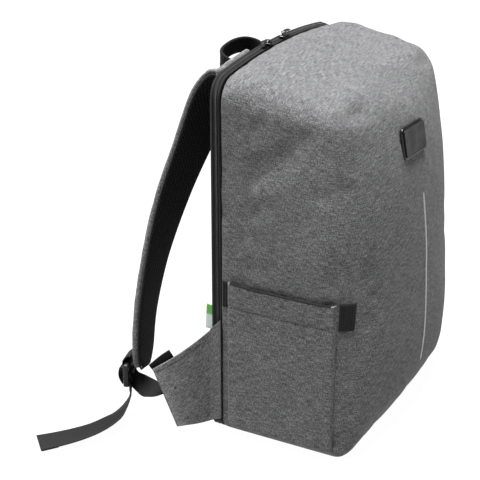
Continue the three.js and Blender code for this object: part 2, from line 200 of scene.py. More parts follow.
def apply_modifiers(obj):
    graph = bpy.context.evaluated_depsgraph_get()
    mesh = bpy.data.meshes.new_from_object(obj.evaluated_get(graph), preserve_all_data_layers=True,
                                           depsgraph=graph)
    obj.modifiers.clear()
    obj.data = mesh
    return obj


def refine(obj):
    """Applies one level of subdivision surface."""
    modifier = obj.modifiers.new("refine", "SUBSURF")
    modifier.levels = modifier.render_levels = 1
    return apply_modifiers(obj)


def thicken(obj, thickness, offset, lining=0, rim=0):
    """Makes a sheet solid, by a thickness in metres. offset is -1 for inwards, 0 for both ways and 1 for
    outwards. lining and rim are how many material slots further on the inner face and the rim are."""
    modifier = obj.modifiers.new("thick", "SOLIDIFY")
    modifier.thickness, modifier.offset = thickness, offset
    modifier.material_offset, modifier.material_offset_rim = lining, rim
    return apply_modifiers(obj)


def mirrored(obj, name):
    """The same piece on the other side of the bag."""
    twin = obj.copy()
    twin.data = obj.data.copy()
    twin.name = twin.data.name = name
    bpy.context.scene.collection.objects.link(twin)
    points = coords(twin)
    points[:, 0] *= -1
    set_coords(twin, points)
    twin.data.flip_normals()
    return twin


def join(name, objects):
    """Several meshes made into one object, keeping their materials."""
    bm = bmesh.new()
    materials = []
    for obj in objects:
        for m in obj.data.materials:
            if m not in materials:
                materials.append(m)
    for obj in objects:
        remap = [materials.index(m) for m in obj.data.materials]
        for polygon in obj.data.polygons:
            polygon.material_index = remap[polygon.material_index] if remap else 0
        bm.from_mesh(obj.data)
    mesh = bpy.data.meshes.new(name)
    bm.to_mesh(mesh)
    bm.free()
    for m in materials:
        mesh.materials.append(m)
    for obj in objects:
        bpy.data.objects.remove(obj)
    joined = bpy.data.objects.new(name, mesh)
    bpy.context.scene.collection.objects.link(joined)
    return joined


def box_uv(obj):
    """Lays the cloth's threads on a mesh from the side of the box that each face points to most."""
    mesh = obj.data
    layer = mesh.uv_layers.get("cloth") or mesh.uv_layers.new(name="cloth")
    at = coords(obj) * MM
    for polygon in mesh.polygons:
        normal = polygon.normal
        axis = max(range(3), key=lambda k: abs(normal[k]))
        across, up = [(1, 2), (0, 2), (0, 1)][axis]
        for loop in polygon.loop_indices:
            p = at[mesh.loops[loop].vertex_index]
            layer.data[loop].uv = (p[across], p[up])
    return obj


def grid_faces(rows, columns, closed=False):
    index = np.arange(rows * columns).reshape(rows, columns)
    if closed:
        index = np.hstack([index, index[:, :1]])
    return np.stack([index[:-1, :-1], index[:-1, 1:], index[1:, 1:], index[1:, :-1]], -1).reshape(-1, 4)


def grid_object(name, points, uv, material):
    """An open sheet from a (rows, columns, 3) array, with uv as (rows, columns, 2)."""
    rows, columns = points.shape[:2]
    faces = grid_faces(rows, columns)
    return new_object(name, points.reshape(-1, 3), faces, uv.reshape(-1, 2)[faces], material)


def cloth_sheet(name, point, us, vs, size, material):
    """An open sheet of the points point(u, v), with its threads laid over size, which is (width, length) in
    millimetres."""
    grid = np.array([[point(u, v) for u in us] for v in vs])
    u, v = np.meshgrid(us * size[0], vs * size[1])
    return grid_object(name, grid, np.stack([u, v], 2), material)


def lengths(path):
    """How far along a path each of its points is."""
    return np.concatenate([[0], np.cumsum(np.linalg.norm(np.diff(path, axis=0), axis=1))])


def loft(name, sections, material, cap=True):
    """A closed tube through (stations, around, 3) sections. uv runs round and along, in millimetres."""
    sections = np.asarray(sections, float)
    rows, around = sections.shape[:2]
    faces = [list(f) for f in grid_faces(rows, around, closed=True)]
    ring = np.linalg.norm(np.diff(np.concatenate([sections, sections[:, :1]], 1), axis=1), axis=2).mean(0)
    u = np.concatenate([[0], np.cumsum(ring)])
    v = lengths(sections.mean(1))
    uvs = []
    for r in range(rows - 1):
        for c in range(around):
            uvs.append([[u[c], v[r]], [u[c + 1], v[r]], [u[c + 1], v[r + 1]], [u[c], v[r + 1]]])
    if cap:
        for row in (0, rows - 1):
            loop = [row * around + c for c in range(around)]
            centre = sections[row].mean(0)
            offsets = sections[row] - centre
            frame_u = sections[row][0] - centre
            frame_u /= max(np.linalg.norm(frame_u), 1e-9)
            normal = np.cross(offsets[0], offsets[around // 4])
            normal /= max(np.linalg.norm(normal), 1e-9)
            frame_v = np.cross(normal, frame_u)
            faces.append(loop if row else loop[::-1])
            corner = [[o @ frame_u, o @ frame_v] for o in offsets]
            uvs.append(corner if row else corner[::-1])
    return face_out(new_object(name, sections.reshape(-1, 3), faces, uvs, material))


def tube(name, path, radius, material, around=8, closed=False):
    """A round cord along a path of points, used for piping and threads."""
    path = np.asarray(path, float)
    if closed:
        tangent = np.roll(path, -1, 0) - np.roll(path, 1, 0)
    else:
        tangent = np.gradient(path, axis=0)
    tangent /= np.linalg.norm(tangent, axis=1, keepdims=True)
    side = np.cross(tangent, [0.31, 0.17, 0.93])
    side /= np.maximum(np.linalg.norm(side, axis=1, keepdims=True), 1e-6)
    up = np.cross(side, tangent)
    turn = np.linspace(0, 2 * np.pi, around, endpoint=False)
    ring = np.cos(turn)[None, :, None] * side[:, None] + np.sin(turn)[None, :, None] * up[:, None]
    sections = path[:, None] + ring * radius
    if closed:
        sections = np.concatenate([sections, sections[:1]])
    return loft(name, sections, material, cap=not closed)


# ---------------------------------------------------------------- curves
def catmull(points, t):
    """Centripetal Catmull-Rom curve through the points, at t from 0 to 1."""
    p = np.array(points, float)
    n = len(p)
    place = (n - 1) * t
    i = min(int(place), n - 2)
    w = place - i
    before = p[i - 1] if i > 0 else 2 * p[0] - p[1]
    after = p[i + 2] if i + 2 < n else 2 * p[-1] - p[-2]
    a, b = p[i], p[i + 1]
    d0, d1, d2 = (math.sqrt(np.linalg.norm(k)) for k in (a - before, b - a, after - b))
    m1 = ((a - before) / d0 - (b - before) / (d0 + d1) + (b - a) / d1) * d1
    m2 = ((b - a) / d1 - (after - a) / (d1 + d2) + (after - b) / d2) * d1
    return a + m1 * w + (-3 * a + 3 * b - 2 * m1 - m2) * w ** 2 + (2 * a - 2 * b + m1 + m2) * w ** 3


def stations(points, across, ts):
    """Places along a curve with their width and normal directions. The normal is tangent x width."""
    out = []
    for t in ts:
        tangent = catmull(points, min(t + 1e-4, 1)) - catmull(points, max(t - 1e-4, 0))
        tangent /= np.linalg.norm(tangent)
        side = np.array(across(t), float)
        side -= (side @ tangent) * tangent
        side /= np.linalg.norm(side)
        out.append((catmull(points, t), side, np.cross(tangent, side)))
    return [np.array(k) for k in zip(*out)]


def oval(turn, power):
    """A point of a rounded outline, 1 out each way. A smaller power gives squarer corners."""
    c, s = math.cos(turn), math.sin(turn)
    return abs(c) ** power * math.copysign(1, c), abs(s) ** power * math.copysign(1, s)


def turned(degrees):
    a = math.radians(degrees)
    return np.array([math.cos(a), math.sin(a), 0])


def band_profile(thickness, ribs=0, columns=14):
    """Cross-section of webbing: (across from -0.5 to 0.5, off its middle in mm), with thicker woven edges."""
    selvage = 0.18
    a = np.linspace(-0.5, 0.5, columns + 1)
    rim = np.sqrt(np.clip(1 - (2 * np.abs(a)) ** 12, 0.06, 1))
    swell = 1 + selvage * smoothstep(np.abs(a), 0.36, 0.44)
    rib = 1 - 0.08 * (0.5 - 0.5 * np.cos(2 * np.pi * ribs * a)) if ribs else 1
    half = thickness / 2 * rim * swell * rib
    top = np.stack([a, half], 1)
    return np.concatenate([top, top[::-1] * [1, -1]])


def band(name, points, across, width, thickness, material, steps=60, offset=0, profile=None):
    """Flat webbing along a curve. width is in millimetres, or a function of the place along the curve."""
    ts = np.linspace(0, 1, steps + 1)
    at, side, normal = stations(points, across, ts)
    profile = band_profile(thickness) if profile is None else profile
    wide = np.array([width(t) if callable(width) else width for t in ts])
    sections = (at[:, None] + side[:, None] * (profile[None, :, :1] * wide[:, None, None])
                + normal[:, None] * (profile[None, :, 1:] + offset))
    return loft(name, sections, material)


STITCH_FACES = ((0, 3, 2), (2, 3, 5, 4), (4, 5, 1), (0, 2, 6), (2, 4, 6), (4, 1, 6), (3, 0, 7), (5, 3, 7),
                (1, 5, 7), (0, 6, 7), (1, 7, 6))
STITCH_RISE, STITCH_SHOULDER = 0.25, 0.22


def stitches(name, path, out, material, length=3.2, gap=1.5, width=0.55):
    """A row of thread stitches along a path. out is the direction that the cloth faces at each point."""
    path, out = np.asarray(path, float), np.asarray(out, float)
    along = lengths(path)
    points, faces = [], []
    for start in np.arange(gap, along[-1] - length, length + gap):
        a, middle, b = (np.array([np.interp(start + share * length, along, path[:, k]) for k in range(3)])
                        for share in (0, 0.5, 1))
        normal = np.array([np.interp(start, along, out[:, k]) for k in range(3)])
        normal /= np.linalg.norm(normal)
        run = b - a
        run /= max(np.linalg.norm(run), 1e-9)
        side = np.cross(run, normal) * width / 2
        base = len(points)
        top = middle + normal * STITCH_RISE
        reach = run * length * STITCH_SHOULDER
        points += [a - normal * 0.1, b - normal * 0.1]
        points += [top - reach - side, top - reach + side + normal * 0.05]
        points += [top + reach - side, top + reach + side + normal * 0.05]
        points += [middle - normal * 0.2 - side, middle - normal * 0.2 + side]
        faces += [[base + k for k in face] for face in STITCH_FACES]
    return face_out(new_object(name, points, faces, None, material))


# ---------------------------------------------------------------- materials
class Nodes:
    """A small helper that strings shader nodes together."""

    def __init__(self, name, roughness, specular=0.3, sheen=0.0, metallic=0.0):
        self.material = bpy.data.materials.new(name)
        self.material.use_nodes = True
        self.tree = self.material.node_tree
        self.shader = self.tree.nodes["Principled BSDF"]
        self.shader.inputs["Roughness"].default_value = roughness
        self.shader.inputs["Specular IOR Level"].default_value = specular
        self.shader.inputs["Metallic"].default_value = metallic
        self.shader.inputs["Sheen Weight"].default_value = sheen
        self.shader.inputs["Sheen Roughness"].default_value = 0.5

    def add(self, kind, **values):
        node = self.tree.nodes.new(kind)
        for key, value in values.items():
            if key in node.bl_rna.properties:
                setattr(node, key, value)
            else:
                node.inputs[key].default_value = value
        return node

    def link(self, a, b):
        self.tree.links.new(a, b)

    def coordinates(self, scale, source="UV", turn=0.0):
        where = self.add("ShaderNodeTexCoord")
        mapping = self.add("ShaderNodeMapping")
        mapping.inputs["Scale"].default_value = scale
        mapping.inputs["Rotation"].default_value = (0, 0, turn)
        self.link(where.outputs[source], mapping.inputs["Vector"])
        return mapping.outputs["Vector"]

    def noise(self, scale, detail, source="UV"):
        node = self.add("ShaderNodeTexNoise", Scale=1.0, Detail=detail, Roughness=0.55)
        self.link(self.coordinates(scale, source), node.inputs["Vector"])
        return node.outputs["Fac"]

    def wave(self, period, direction, distortion=0.0, turn=0.0):
        """Stripes of that period, in metres, across the X or Y direction."""
        node = self.add("ShaderNodeTexWave", wave_type="BANDS", bands_direction=direction,
                        Scale=0.31416 / period, Distortion=distortion)
        node.inputs["Detail"].default_value = 1.0
        node.inputs["Detail Scale"].default_value = 2.0
        self.link(self.coordinates((1, 1, 1), turn=turn), node.inputs["Vector"])
        return node.outputs["Fac"]

    def math(self, operation, a, b=0.0, c=None):
        node = self.add("ShaderNodeMath", operation=operation)
        for socket, value in zip(node.inputs, (a, b) if c is None else (a, b, c)):
            if isinstance(value, (int, float)):
                socket.default_value = value
            else:
                self.link(value, socket)
        return node.outputs[0]

    def spread(self, value, low, high, to_low=0.0, to_high=1.0):
        node = self.add("ShaderNodeMapRange")
        self.link(value, node.inputs["Value"])
        for key, number in (("From Min", low), ("From Max", high), ("To Min", to_low), ("To Max", to_high)):
            node.inputs[key].default_value = number
        return node.outputs["Result"]

    def colours(self, value, stops):
        ramp = self.add("ShaderNodeValToRGB")
        while len(ramp.color_ramp.elements) < len(stops):
            ramp.color_ramp.elements.new(0.5)
        for element, (place, colour) in zip(ramp.color_ramp.elements, stops):
            element.position = place
            element.color = (*colour, 1) if len(colour) == 3 else colour
        self.link(value, ramp.inputs["Fac"])
        return ramp.outputs["Color"]

    def finish(self, colour, height=None, strength=0.5, distance=0.0004, roughness=None):
        if isinstance(colour, tuple):
            self.shader.inputs["Base Color"].default_value = (*colour, 1)
        else:
            self.link(colour, self.shader.inputs["Base Color"])
        if height is not None:
            bump = self.add("ShaderNodeBump", Strength=strength, Distance=distance)
            self.link(height, bump.inputs["Height"])
            self.link(bump.outputs["Normal"], self.shader.inputs["Normal"])
        if roughness is not None:
            self.link(roughness, self.shader.inputs["Roughness"])
        return self.material


def grey(value, tint=(1.0, 1.0, 1.0)):
    return tuple(value * k for k in tint)


COOL = (1.0, 1.0, 1.02)


def melange_cloth(name, level):
    """Woven polyester whose grey comes from light and dark slubs in both thread directions."""
    n = Nodes(name, roughness=0.9, specular=0.15, sheen=0.08)
    weft = n.noise((90, 1000, 1), 3.0)
    fine_weft = n.noise((480, 1500, 1), 2.0)
    warp = n.noise((1100, 210, 1), 2.5)
    cloud = n.noise((40, 46, 1), 3.0)
    mix = n.math("MULTIPLY_ADD", weft, 0.36, n.math("MULTIPLY", fine_weft, 0.30))
    mix = n.math("MULTIPLY_ADD", warp, 0.34, mix)
    mix = n.math("MULTIPLY_ADD", n.math("SUBTRACT", cloud, 0.5), 0.06, mix)
    dark, mid, light = grey(level * 0.28, COOL), grey(level * 0.95, COOL), grey(level * 2.3, COOL)
    colour = n.colours(mix, [(0.40, dark), (0.50, mid), (0.61, light)])
    threads = n.math("MULTIPLY", n.wave(0.0009, "X"), n.wave(0.0009, "Y"))
    height = n.math("MULTIPLY_ADD", threads, 0.6, n.math("MULTIPLY", mix, 0.7))
    rough = n.spread(mix, 0.3, 0.7, 0.93, 0.82)
    return n.finish(colour, height, strength=0.5, distance=0.0005, roughness=rough)


def spacer_mesh():
    """Knitted mesh with rows of small holes on the slant."""
    n = Nodes("black_spacer_mesh", roughness=0.85, specular=0.12, sheen=0.04)
    rows = n.wave(0.0036, "X", turn=0.62)
    cross = n.wave(0.0030, "Y", turn=0.62)
    cells = n.math("MULTIPLY", rows, cross)
    fuzz = n.noise((900, 900, 1), 2.0)
    blend = n.math("MULTIPLY_ADD", fuzz, 0.3, n.math("MULTIPLY", cells, 0.9))
    colour = n.colours(blend, [(0.12, grey(0.0015)), (0.38, grey(0.0045)), (0.85, grey(0.014))])
    return n.finish(colour, blend, strength=0.8, distance=0.0012)


def woven_tape(name, level, period=0.0013, width_ribs=0.0021, roughness=0.7, sheen=0.1):
    """Ribbed webbing or tape: close cross threads over a few long ribs."""
    n = Nodes(name, roughness=roughness, specular=0.16, sheen=sheen)
    cross = n.wave(period, "Y", distortion=0.6)
    long = n.wave(width_ribs, "X")
    wear = n.noise((120, 45, 1), 3.0)
    fuzz = n.noise((1400, 1400, 1), 2.0)
    mix = n.math("MULTIPLY_ADD", cross, 0.35, n.math("MULTIPLY", long, 0.2))
    mix = n.math("MULTIPLY_ADD", wear, 0.35, n.math("MULTIPLY_ADD", fuzz, 0.2, mix))
    colour = n.colours(mix, [(0.25, grey(level * 0.55)), (0.55, grey(level)), (0.85, grey(level * 1.6))])
    return n.finish(colour, mix, strength=0.6, distance=0.0006)


def ripstop_lining():
    """Thin plain-woven lining with a faint grid of thicker threads."""
    n = Nodes("dark_lining", roughness=0.6, specular=0.35, sheen=0.15)
    grid = n.math("MAXIMUM", n.spread(n.wave(0.005, "X"), 0.9, 1.0), n.spread(n.wave(0.005, "Y"), 0.9, 1.0))
    crush = n.noise((22, 26, 1), 4.0)
    thread = n.math("MULTIPLY", n.wave(0.0008, "X"), n.wave(0.0008, "Y"))
    fine = n.math("MULTIPLY_ADD", crush, 0.6, n.math("MULTIPLY", thread, 0.15))
    mix = n.math("MULTIPLY_ADD", grid, 0.25, fine)
    colour = n.colours(mix, [(0.2, grey(0.014, COOL)), (0.5, grey(0.024, COOL)), (0.8, grey(0.038, COOL))])
    return n.finish(colour, mix, strength=0.5, distance=0.0012)


def moulded(name, level, roughness=0.45, grain=0.35):
    """Moulded nylon with a fine spark-eroded grain, and its convex edges made lighter as a painted highlight."""
    n = Nodes(name, roughness=roughness, specular=0.4)
    fine = n.noise((1900, 1900, 1900), 3.0, "Object")
    broad = n.noise((60, 60, 60), 3.0, "Object")
    # painted highlight: the convex edges, found by pointiness, are made lighter
    edge = n.add("ShaderNodeNewGeometry").outputs["Pointiness"]
    edge_highlight = n.spread(edge, 0.53, 0.62, 0.0, 0.35)
    mix = n.math("ADD", n.math("MULTIPLY_ADD", fine, 0.4, n.math("MULTIPLY", broad, 0.5)), edge_highlight)
    colour = n.colours(mix, [(0.25, grey(level * 0.8)), (0.55, grey(level)), (0.95, grey(level * 2.2))])
    rough = n.spread(broad, 0.3, 0.7, roughness - 0.07, roughness + 0.10)
    return n.finish(colour, fine, strength=grain, distance=0.0002, roughness=rough)


def bead_tape():
    """Silver glass-bead tape with a satin sparkle."""
    n = Nodes("reflective_tape", roughness=0.38, specular=0.5, metallic=0.35)
    beads = n.noise((3200, 3200, 1), 2.0)
    dirt = n.noise((60, 240, 1), 3.0)
    mix = n.math("MULTIPLY_ADD", beads, 0.4, n.math("MULTIPLY", dirt, 0.6))
    colour = n.colours(mix, [(0.3, grey(0.26)), (0.5, grey(0.36)), (0.75, grey(0.48))])
    return n.finish(colour, beads, strength=0.35, distance=0.0002)


def dark_metal():
    """Die-cast zinc with a dark nickel plate, its corners made lighter as a painted highlight."""
    n = Nodes("dark_nickel", roughness=0.28, specular=0.5, metallic=1.0)
    scratch = n.noise((900, 120, 900), 3.0, "Object")
    # painted highlight: the corners, found by pointiness, are made lighter
    edge = n.spread(n.add("ShaderNodeNewGeometry").outputs["Pointiness"], 0.5, 0.6, 0.0, 0.5)
    mix = n.math("ADD", n.math("MULTIPLY", scratch, 0.7), edge)
    colour = n.colours(mix, [(0.2, grey(0.06)), (0.5, grey(0.14)), (0.95, grey(0.5))])
    return n.finish(colour, scratch, strength=0.15, distance=0.0002,
                    roughness=n.spread(scratch, 0.3, 0.7, 0.2, 0.4))


def two_tone_tag():
    """Satin tag, green at the top and pale below, with a narrow green selvage."""
    n = Nodes("tag_cloth", roughness=0.5, specular=0.4, sheen=0.2)
    where = n.add("ShaderNodeSeparateXYZ")
    n.link(n.coordinates((1, 1, 1)), where.inputs[0])
    top = n.spread(where.outputs["Y"], 0.0175, 0.0200)
    strand = n.math("MULTIPLY", n.wave(0.0005, "X"), n.noise((1500, 300, 1), 2.0))
    green = n.add("ShaderNodeMix", data_type="RGBA")
    n.link(top, green.inputs["Factor"])
    pale = n.colours(strand, [(0.0, (0.42, 0.52, 0.47)), (0.6, (0.58, 0.66, 0.61))])
    leaf = n.colours(strand, [(0.0, (0.07, 0.26, 0.035)), (0.6, (0.14, 0.42, 0.07))])
    n.link(pale, green.inputs[6])
    n.link(leaf, green.inputs[7])
    return n.finish(green.outputs[2], strand, strength=0.3, distance=0.0002)


def studio_floor():
    """A light table: matt, and lit from below so that shadows on it are faint."""
    n = Nodes("studio_floor", roughness=0.9, specular=0.1)
    n.shader.inputs["Emission Color"].default_value = (1, 1, 1, 1)
    n.shader.inputs["Emission Strength"].default_value = 0.98
    soft = n.noise((3, 3, 3), 2.0, "Object")
    colour = n.colours(soft, [(0.3, grey(0.05)), (0.7, grey(0.055))])
    return n.finish(colour)


CLOTH = melange_cloth("grey_melange", 0.102)
STRAP_CLOTH = melange_cloth("grey_melange_strap", 0.115)
MESH = spacer_mesh()
TAPE = woven_tape("black_zip_tape", 0.006, period=0.0010, width_ribs=0.0018)
BINDING = woven_tape("black_binding", 0.007, period=0.0009, width_ribs=0.0016)
WEB = woven_tape("dark_webbing_weave", 0.0055, period=0.0014, width_ribs=0.0032, sheen=0.02)
ELASTIC = woven_tape("black_elastic", 0.008, period=0.0011, width_ribs=0.0016, roughness=0.8)
LINING = ripstop_lining()
BLACK_PLASTIC = moulded("black_nylon", 0.008)
RIM_PLASTIC = moulded("black_gloss_rim", 0.007, roughness=0.3, grain=0.15)
GREY_PLASTIC = moulded("dark_grey_face", 0.009, roughness=0.5, grain=0.25)
COIL = moulded("black_nylon_coil", 0.02, roughness=0.35)
REFLECTIVE = bead_tape()
METAL = dark_metal()
TAG = two_tone_tag()
THREAD = woven_tape("grey_thread", 0.042, period=0.0006, width_ribs=0.0006)
DARK_THREAD = woven_tape("black_thread", 0.009, period=0.0006, width_ribs=0.0006)
BOARD = moulded("grey_board", 0.025, roughness=0.6)


# ---------------------------------------------------------------- cloth
CLOTH_FRAMES = 20


def puff(obj, hold, pressure, cap, slack=0.0, bending=0.5):
    """Fills a closed piece with air as Cloth, held where hold is 1, and keeps the result as its shape.
    cap is the furthest that a point may move, in millimetres, and slack is how much longer the cloth is cut."""
    rest = coords(obj)
    group = obj.vertex_groups.new(name="hold")
    for i, weight in enumerate(hold):
        if weight > 0.001:
            group.add([i], float(weight), "REPLACE")
    cloth = obj.modifiers.new("air", "CLOTH")
    settings = cloth.settings
    settings.quality = 5
    settings.mass = 0.2
    settings.tension_stiffness = settings.compression_stiffness = 12
    settings.shear_stiffness = 6
    settings.bending_stiffness = bending
    settings.tension_damping = settings.compression_damping = 12
    settings.shear_damping = 8
    settings.air_damping = 3
    settings.shrink_min = -slack
    settings.use_pressure = True
    settings.uniform_pressure_force = pressure
    settings.effector_weights.gravity = 0
    settings.vertex_group_mass = "hold"
    settings.pin_stiffness = 5
    cloth.collision_settings.use_collision = False
    cloth.collision_settings.use_self_collision = False
    scene = bpy.context.scene
    scene.frame_start, scene.frame_end = 1, CLOTH_FRAMES
    cloth.point_cache.frame_start, cloth.point_cache.frame_end = 1, CLOTH_FRAMES
    for f in range(1, CLOTH_FRAMES + 1):
        scene.frame_set(f)
    solved = obj.evaluated_get(bpy.context.evaluated_depsgraph_get())
    moved = read_vectors(solved.data, "co") / MM - rest
    obj.modifiers.clear()
    obj.vertex_groups.clear()
    scene.frame_set(1)
    far = np.linalg.norm(moved, axis=1, keepdims=True)
    moved *= np.tanh(far / cap) * cap / np.maximum(far, 1e-9)
    set_coords(obj, rest + moved)
    return obj


def ripple(points, scale, seed=0.0):
    """Smooth noise from -1 to 1 at each point, with features about scale mm across."""
    return np.array([noise.noise(Vector(p) / scale + Vector((seed, 2 * seed, -seed))) for p in points])


def dent(points, centre, radius, depth):
    """Signed push towards the inside near a point, in millimetres."""
    far = np.linalg.norm((points - np.array(centre)) / np.array(radius), axis=1)
    return -depth * np.exp(-far ** 2)


# ---------------------------------------------------------------- shell
# places on each side where the cloth is drawn in, as (centre, radii, depth); a negative depth stands out.
# The corner where top, side and front meet is drawn in, the edge behind it ripples, and the seam puckers.
DENTS = [((97, -55, 403), (22, 13, 9), 4.2), ((87, -46, 412), (19, 12, 9), -1.6),
         ((111, -22, 419), (14, 12, 10), 1.7), ((128, -7, 418), (13, 13, 9), -1.4),
         ((152, 74, 342), (8, 9, 12), 1.4), ((152, 74, 285), (8, 9, 12), 1.4)]
OPEN_BACK = BACK_Y + 56
SHELL_WALL = 0.0034
ZIP_RISE, CORNER_RISE, TOP_LEAN, RIGHT_LEAN = 4.5, 13.0, 13.0, 6.0


def make_shell():
    low, high = [-HALF_WIDTH, FRONT_Y, 0], [HALF_WIDTH, OPEN_BACK, HEIGHT]
    points, faces, uvs = soft_box(low, high, lambda z: bag_radius(z, 0), (50, 38, 74), bag_form)
    shell = face_out(new_object("bag_shell", points, faces, uvs, CLOTH, [LINING]))
    hold = np.clip(smoothstep(points[:, 1], 40, 70) + smoothstep(-points[:, 2], -14, -2), 0, 1)
    puff(shell, hold, pressure=1.2, cap=4.0, slack=0.012, bending=2.0)
    refine(shell)
    points, out = coords(shell), normals(shell)
    rim = np.exp(-np.maximum(RIM_Y - points[:, 1], 0) / 11)
    pucker = rim * (1.1 * ripple(points, 26, 3.0) + 0.5 * ripple(points, 11, 7.0))
    broad = 1.1 * ripple(points, 85, 1.0) + 0.45 * ripple(points, 34, 5.0)
    upper = smoothstep(points[:, 2], 0, 60) * smoothstep(-points[:, 1], -74, -30)
    push = pucker + broad * upper
    for side in (-1, 1):
        for (x, y, z), radii, depth in DENTS:
            push += dent(points, (side * x, y, z), radii, depth)
    roll = -1.0 * smoothstep(points[:, 1], RIM_Y - 3.5, RIM_Y)
    points += out * (push + roll)[:, None]
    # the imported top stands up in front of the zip, most on the right, and the front's upper end leans that way
    forward = np.clip((BACK_Y - points[:, 1]) / DEPTH, 0, 1)
    right = smoothstep(points[:, 0], -20, 90)
    behind_zip = smoothstep(out[:, 2], 0.2, 0.7) * smoothstep(RIM_Y - points[:, 1], 0, 18)
    points[:, 2] += (ZIP_RISE + ZIP_RISE * right) * behind_zip * np.exp(-((points[:, 1] - 50) / 30) ** 2)
    corner = smoothstep(points[:, 0], 0, 150) * smoothstep(forward, 0.08, 0.6)
    points[:, 2] += CORNER_RISE * corner * smoothstep(points[:, 2], 300, 420)
    lean = smoothstep(points[:, 2], 230, 430) * forward ** 1.5
    points[:, 0] += (TOP_LEAN + RIGHT_LEAN * right) * lean
    set_coords(shell, points)
    cut_away(shell, (0, RIM_Y * MM, 0), (0, 1, 0))
    return thicken(shell, SHELL_WALL, -1, lining=1, rim=1)


shell = make_shell()
surface = BVHTree.FromPolygons([v.co / MM for v in shell.data.vertices],
                               [tuple(p.vertices) for p in shell.data.polygons])


def on_shell(origin, direction, stand=0.0):
    """The point of the shell that a straight line meets, stand mm off it, and the cloth's direction there."""
    place, normal, _, _ = surface.ray_cast(Vector(origin), Vector(direction))
    if place is None:
        place, normal, _, _ = surface.find_nearest(Vector(origin))
    normal = normal if normal.dot(Vector(direction)) < 0 else -normal
    return np.array(place + normal * stand), np.array(normal)


def side_x(y, z, stand=0.0):
    """How far out the left side of the shell is at (y, z), as a point stand mm off it."""
    return on_shell((-400, y, z), (1, 0, 0), stand)


# ---------------------------------------------------------------- zip, bindings and hinge
def ring(y, inset, ts, whole=False):
    """Points round the bag's outline at y: up the left side, over the top and down the right side.
    ts runs from 0 to 1; whole starts and ends at the middle of the base instead of at the zip's ends."""
    half = HALF_WIDTH - inset
    top = HEIGHT - inset
    radius = EDGE_RADIUS - inset
    low_radius = max(BASE_RADIUS - inset, 2)
    pieces = []
    if whole:
        pieces.append(np.stack([np.linspace(0, -half + low_radius, 20), np.full(20, inset)], 1))
        turn = np.linspace(-np.pi / 2, -np.pi, 9)
        pieces.append(np.stack([-half + low_radius + low_radius * np.cos(turn),
                                inset + low_radius + low_radius * np.sin(turn)], 1))
    start = inset + low_radius if whole else ZIP_END_Z
    straight = np.linspace(start, top - radius, 60)
    pieces.append(np.stack([np.full(60, -half), straight], 1))
    turn = np.linspace(np.pi, np.pi / 2, 14)
    pieces.append(np.stack([-half + radius + radius * np.cos(turn), top - radius + radius * np.sin(turn)], 1))
    pieces.append(np.stack([np.linspace(-half + radius, 0, 24), np.full(24, top)], 1))
    outline = np.vstack(pieces)
    outline = np.vstack([outline, (outline * [-1, 1])[::-1]])
    outline = outline[np.concatenate([[True], np.linalg.norm(np.diff(outline, axis=0), axis=1) > 1e-6])]
    along = lengths(outline)
    x = np.interp(ts * along[-1], along, outline[:, 0])
    z = np.interp(ts * along[-1], along, outline[:, 1])
    return bag_form(np.stack([x, np.full_like(x, y), z], 1))


def zip_tape(name, seam_y, coil_y):
    """Half of the zip: a tape with piping along its seam and a fold over its coil."""
    k = 1 if coil_y > seam_y else -1
    width = abs(coil_y - seam_y)
    outer = [(0.0, 1.9), (0.3, 0.9), (0.9, 0.45), (1.6, 0.45), (2.1, 1.0), (2.6, 1.55), (3.4, 1.6),
             (width - 1.9, 1.5), (width - 1.2, 1.15), (width - 0.4, 1.25), (width - 0.1, 1.8)]
    inner = [(width - 0.2, 2.9), (width * 0.5, 3.15), (0.4, 3.1)]
    profile = [(seam_y + k * a, inset) for a, inset in outer + inner]
    ts = np.linspace(0, 1, 421)
    return loft(name, np.stack([ring(y, inset, ts) for y, inset in profile], 1), TAPE)


TEETH = 640
TOOTH_FACES = ((0, 1, 3, 2), (2, 3, 5, 4), (4, 5, 7, 6), (0, 2, 8), (2, 4, 8), (4, 6, 8), (1, 9, 3), (3, 9, 5),
               (5, 9, 7), (0, 8, 9, 1), (6, 7, 9, 8))


def zip_coil(name, low_y, high_y, shift):
    """The row of nylon teeth on one tape."""
    ts = (np.arange(TEETH) + 0.5 + shift) / (TEETH + 1)
    middle = ring((low_y + high_y) / 2, 1.2, ts)
    near = ring((low_y + high_y) / 2, 0.2, ts)
    out = near - middle
    out /= np.linalg.norm(out, axis=1, keepdims=True)
    along = np.gradient(middle, axis=0)
    along /= np.linalg.norm(along, axis=1, keepdims=True)
    points, faces = [], []
    reach = (high_y - low_y) / 2
    for m, o, a in zip(middle, out, along):
        base = len(points)
        for share, lift, half in ((-1, 0.1, 0.42), (-0.5, 0.75, 0.5), (0.5, 0.75, 0.5), (1, 0.1, 0.42)):
            step = [0, reach * share, 0]
            points += [m + step + o * lift - a * half, m + step + o * lift + a * half]
        points += [m - a * 0.3 - o * 0.4, m + a * 0.3 - o * 0.4]
        faces += [[base + k for k in face] for face in TOOTH_FACES]
    return face_out(new_object(name, points, faces, None, COIL))


outer_tape = zip_tape("zip_tape_shell", RIM_Y + 0.4, 82.7)
inner_tape = zip_tape("zip_tape_panel", 89.7, 83.5)
outer_coil = zip_coil("zip_coil_shell", 82.0, 83.15, 0.0)
inner_coil = zip_coil("zip_coil_panel", 83.0, 84.1, 0.5)


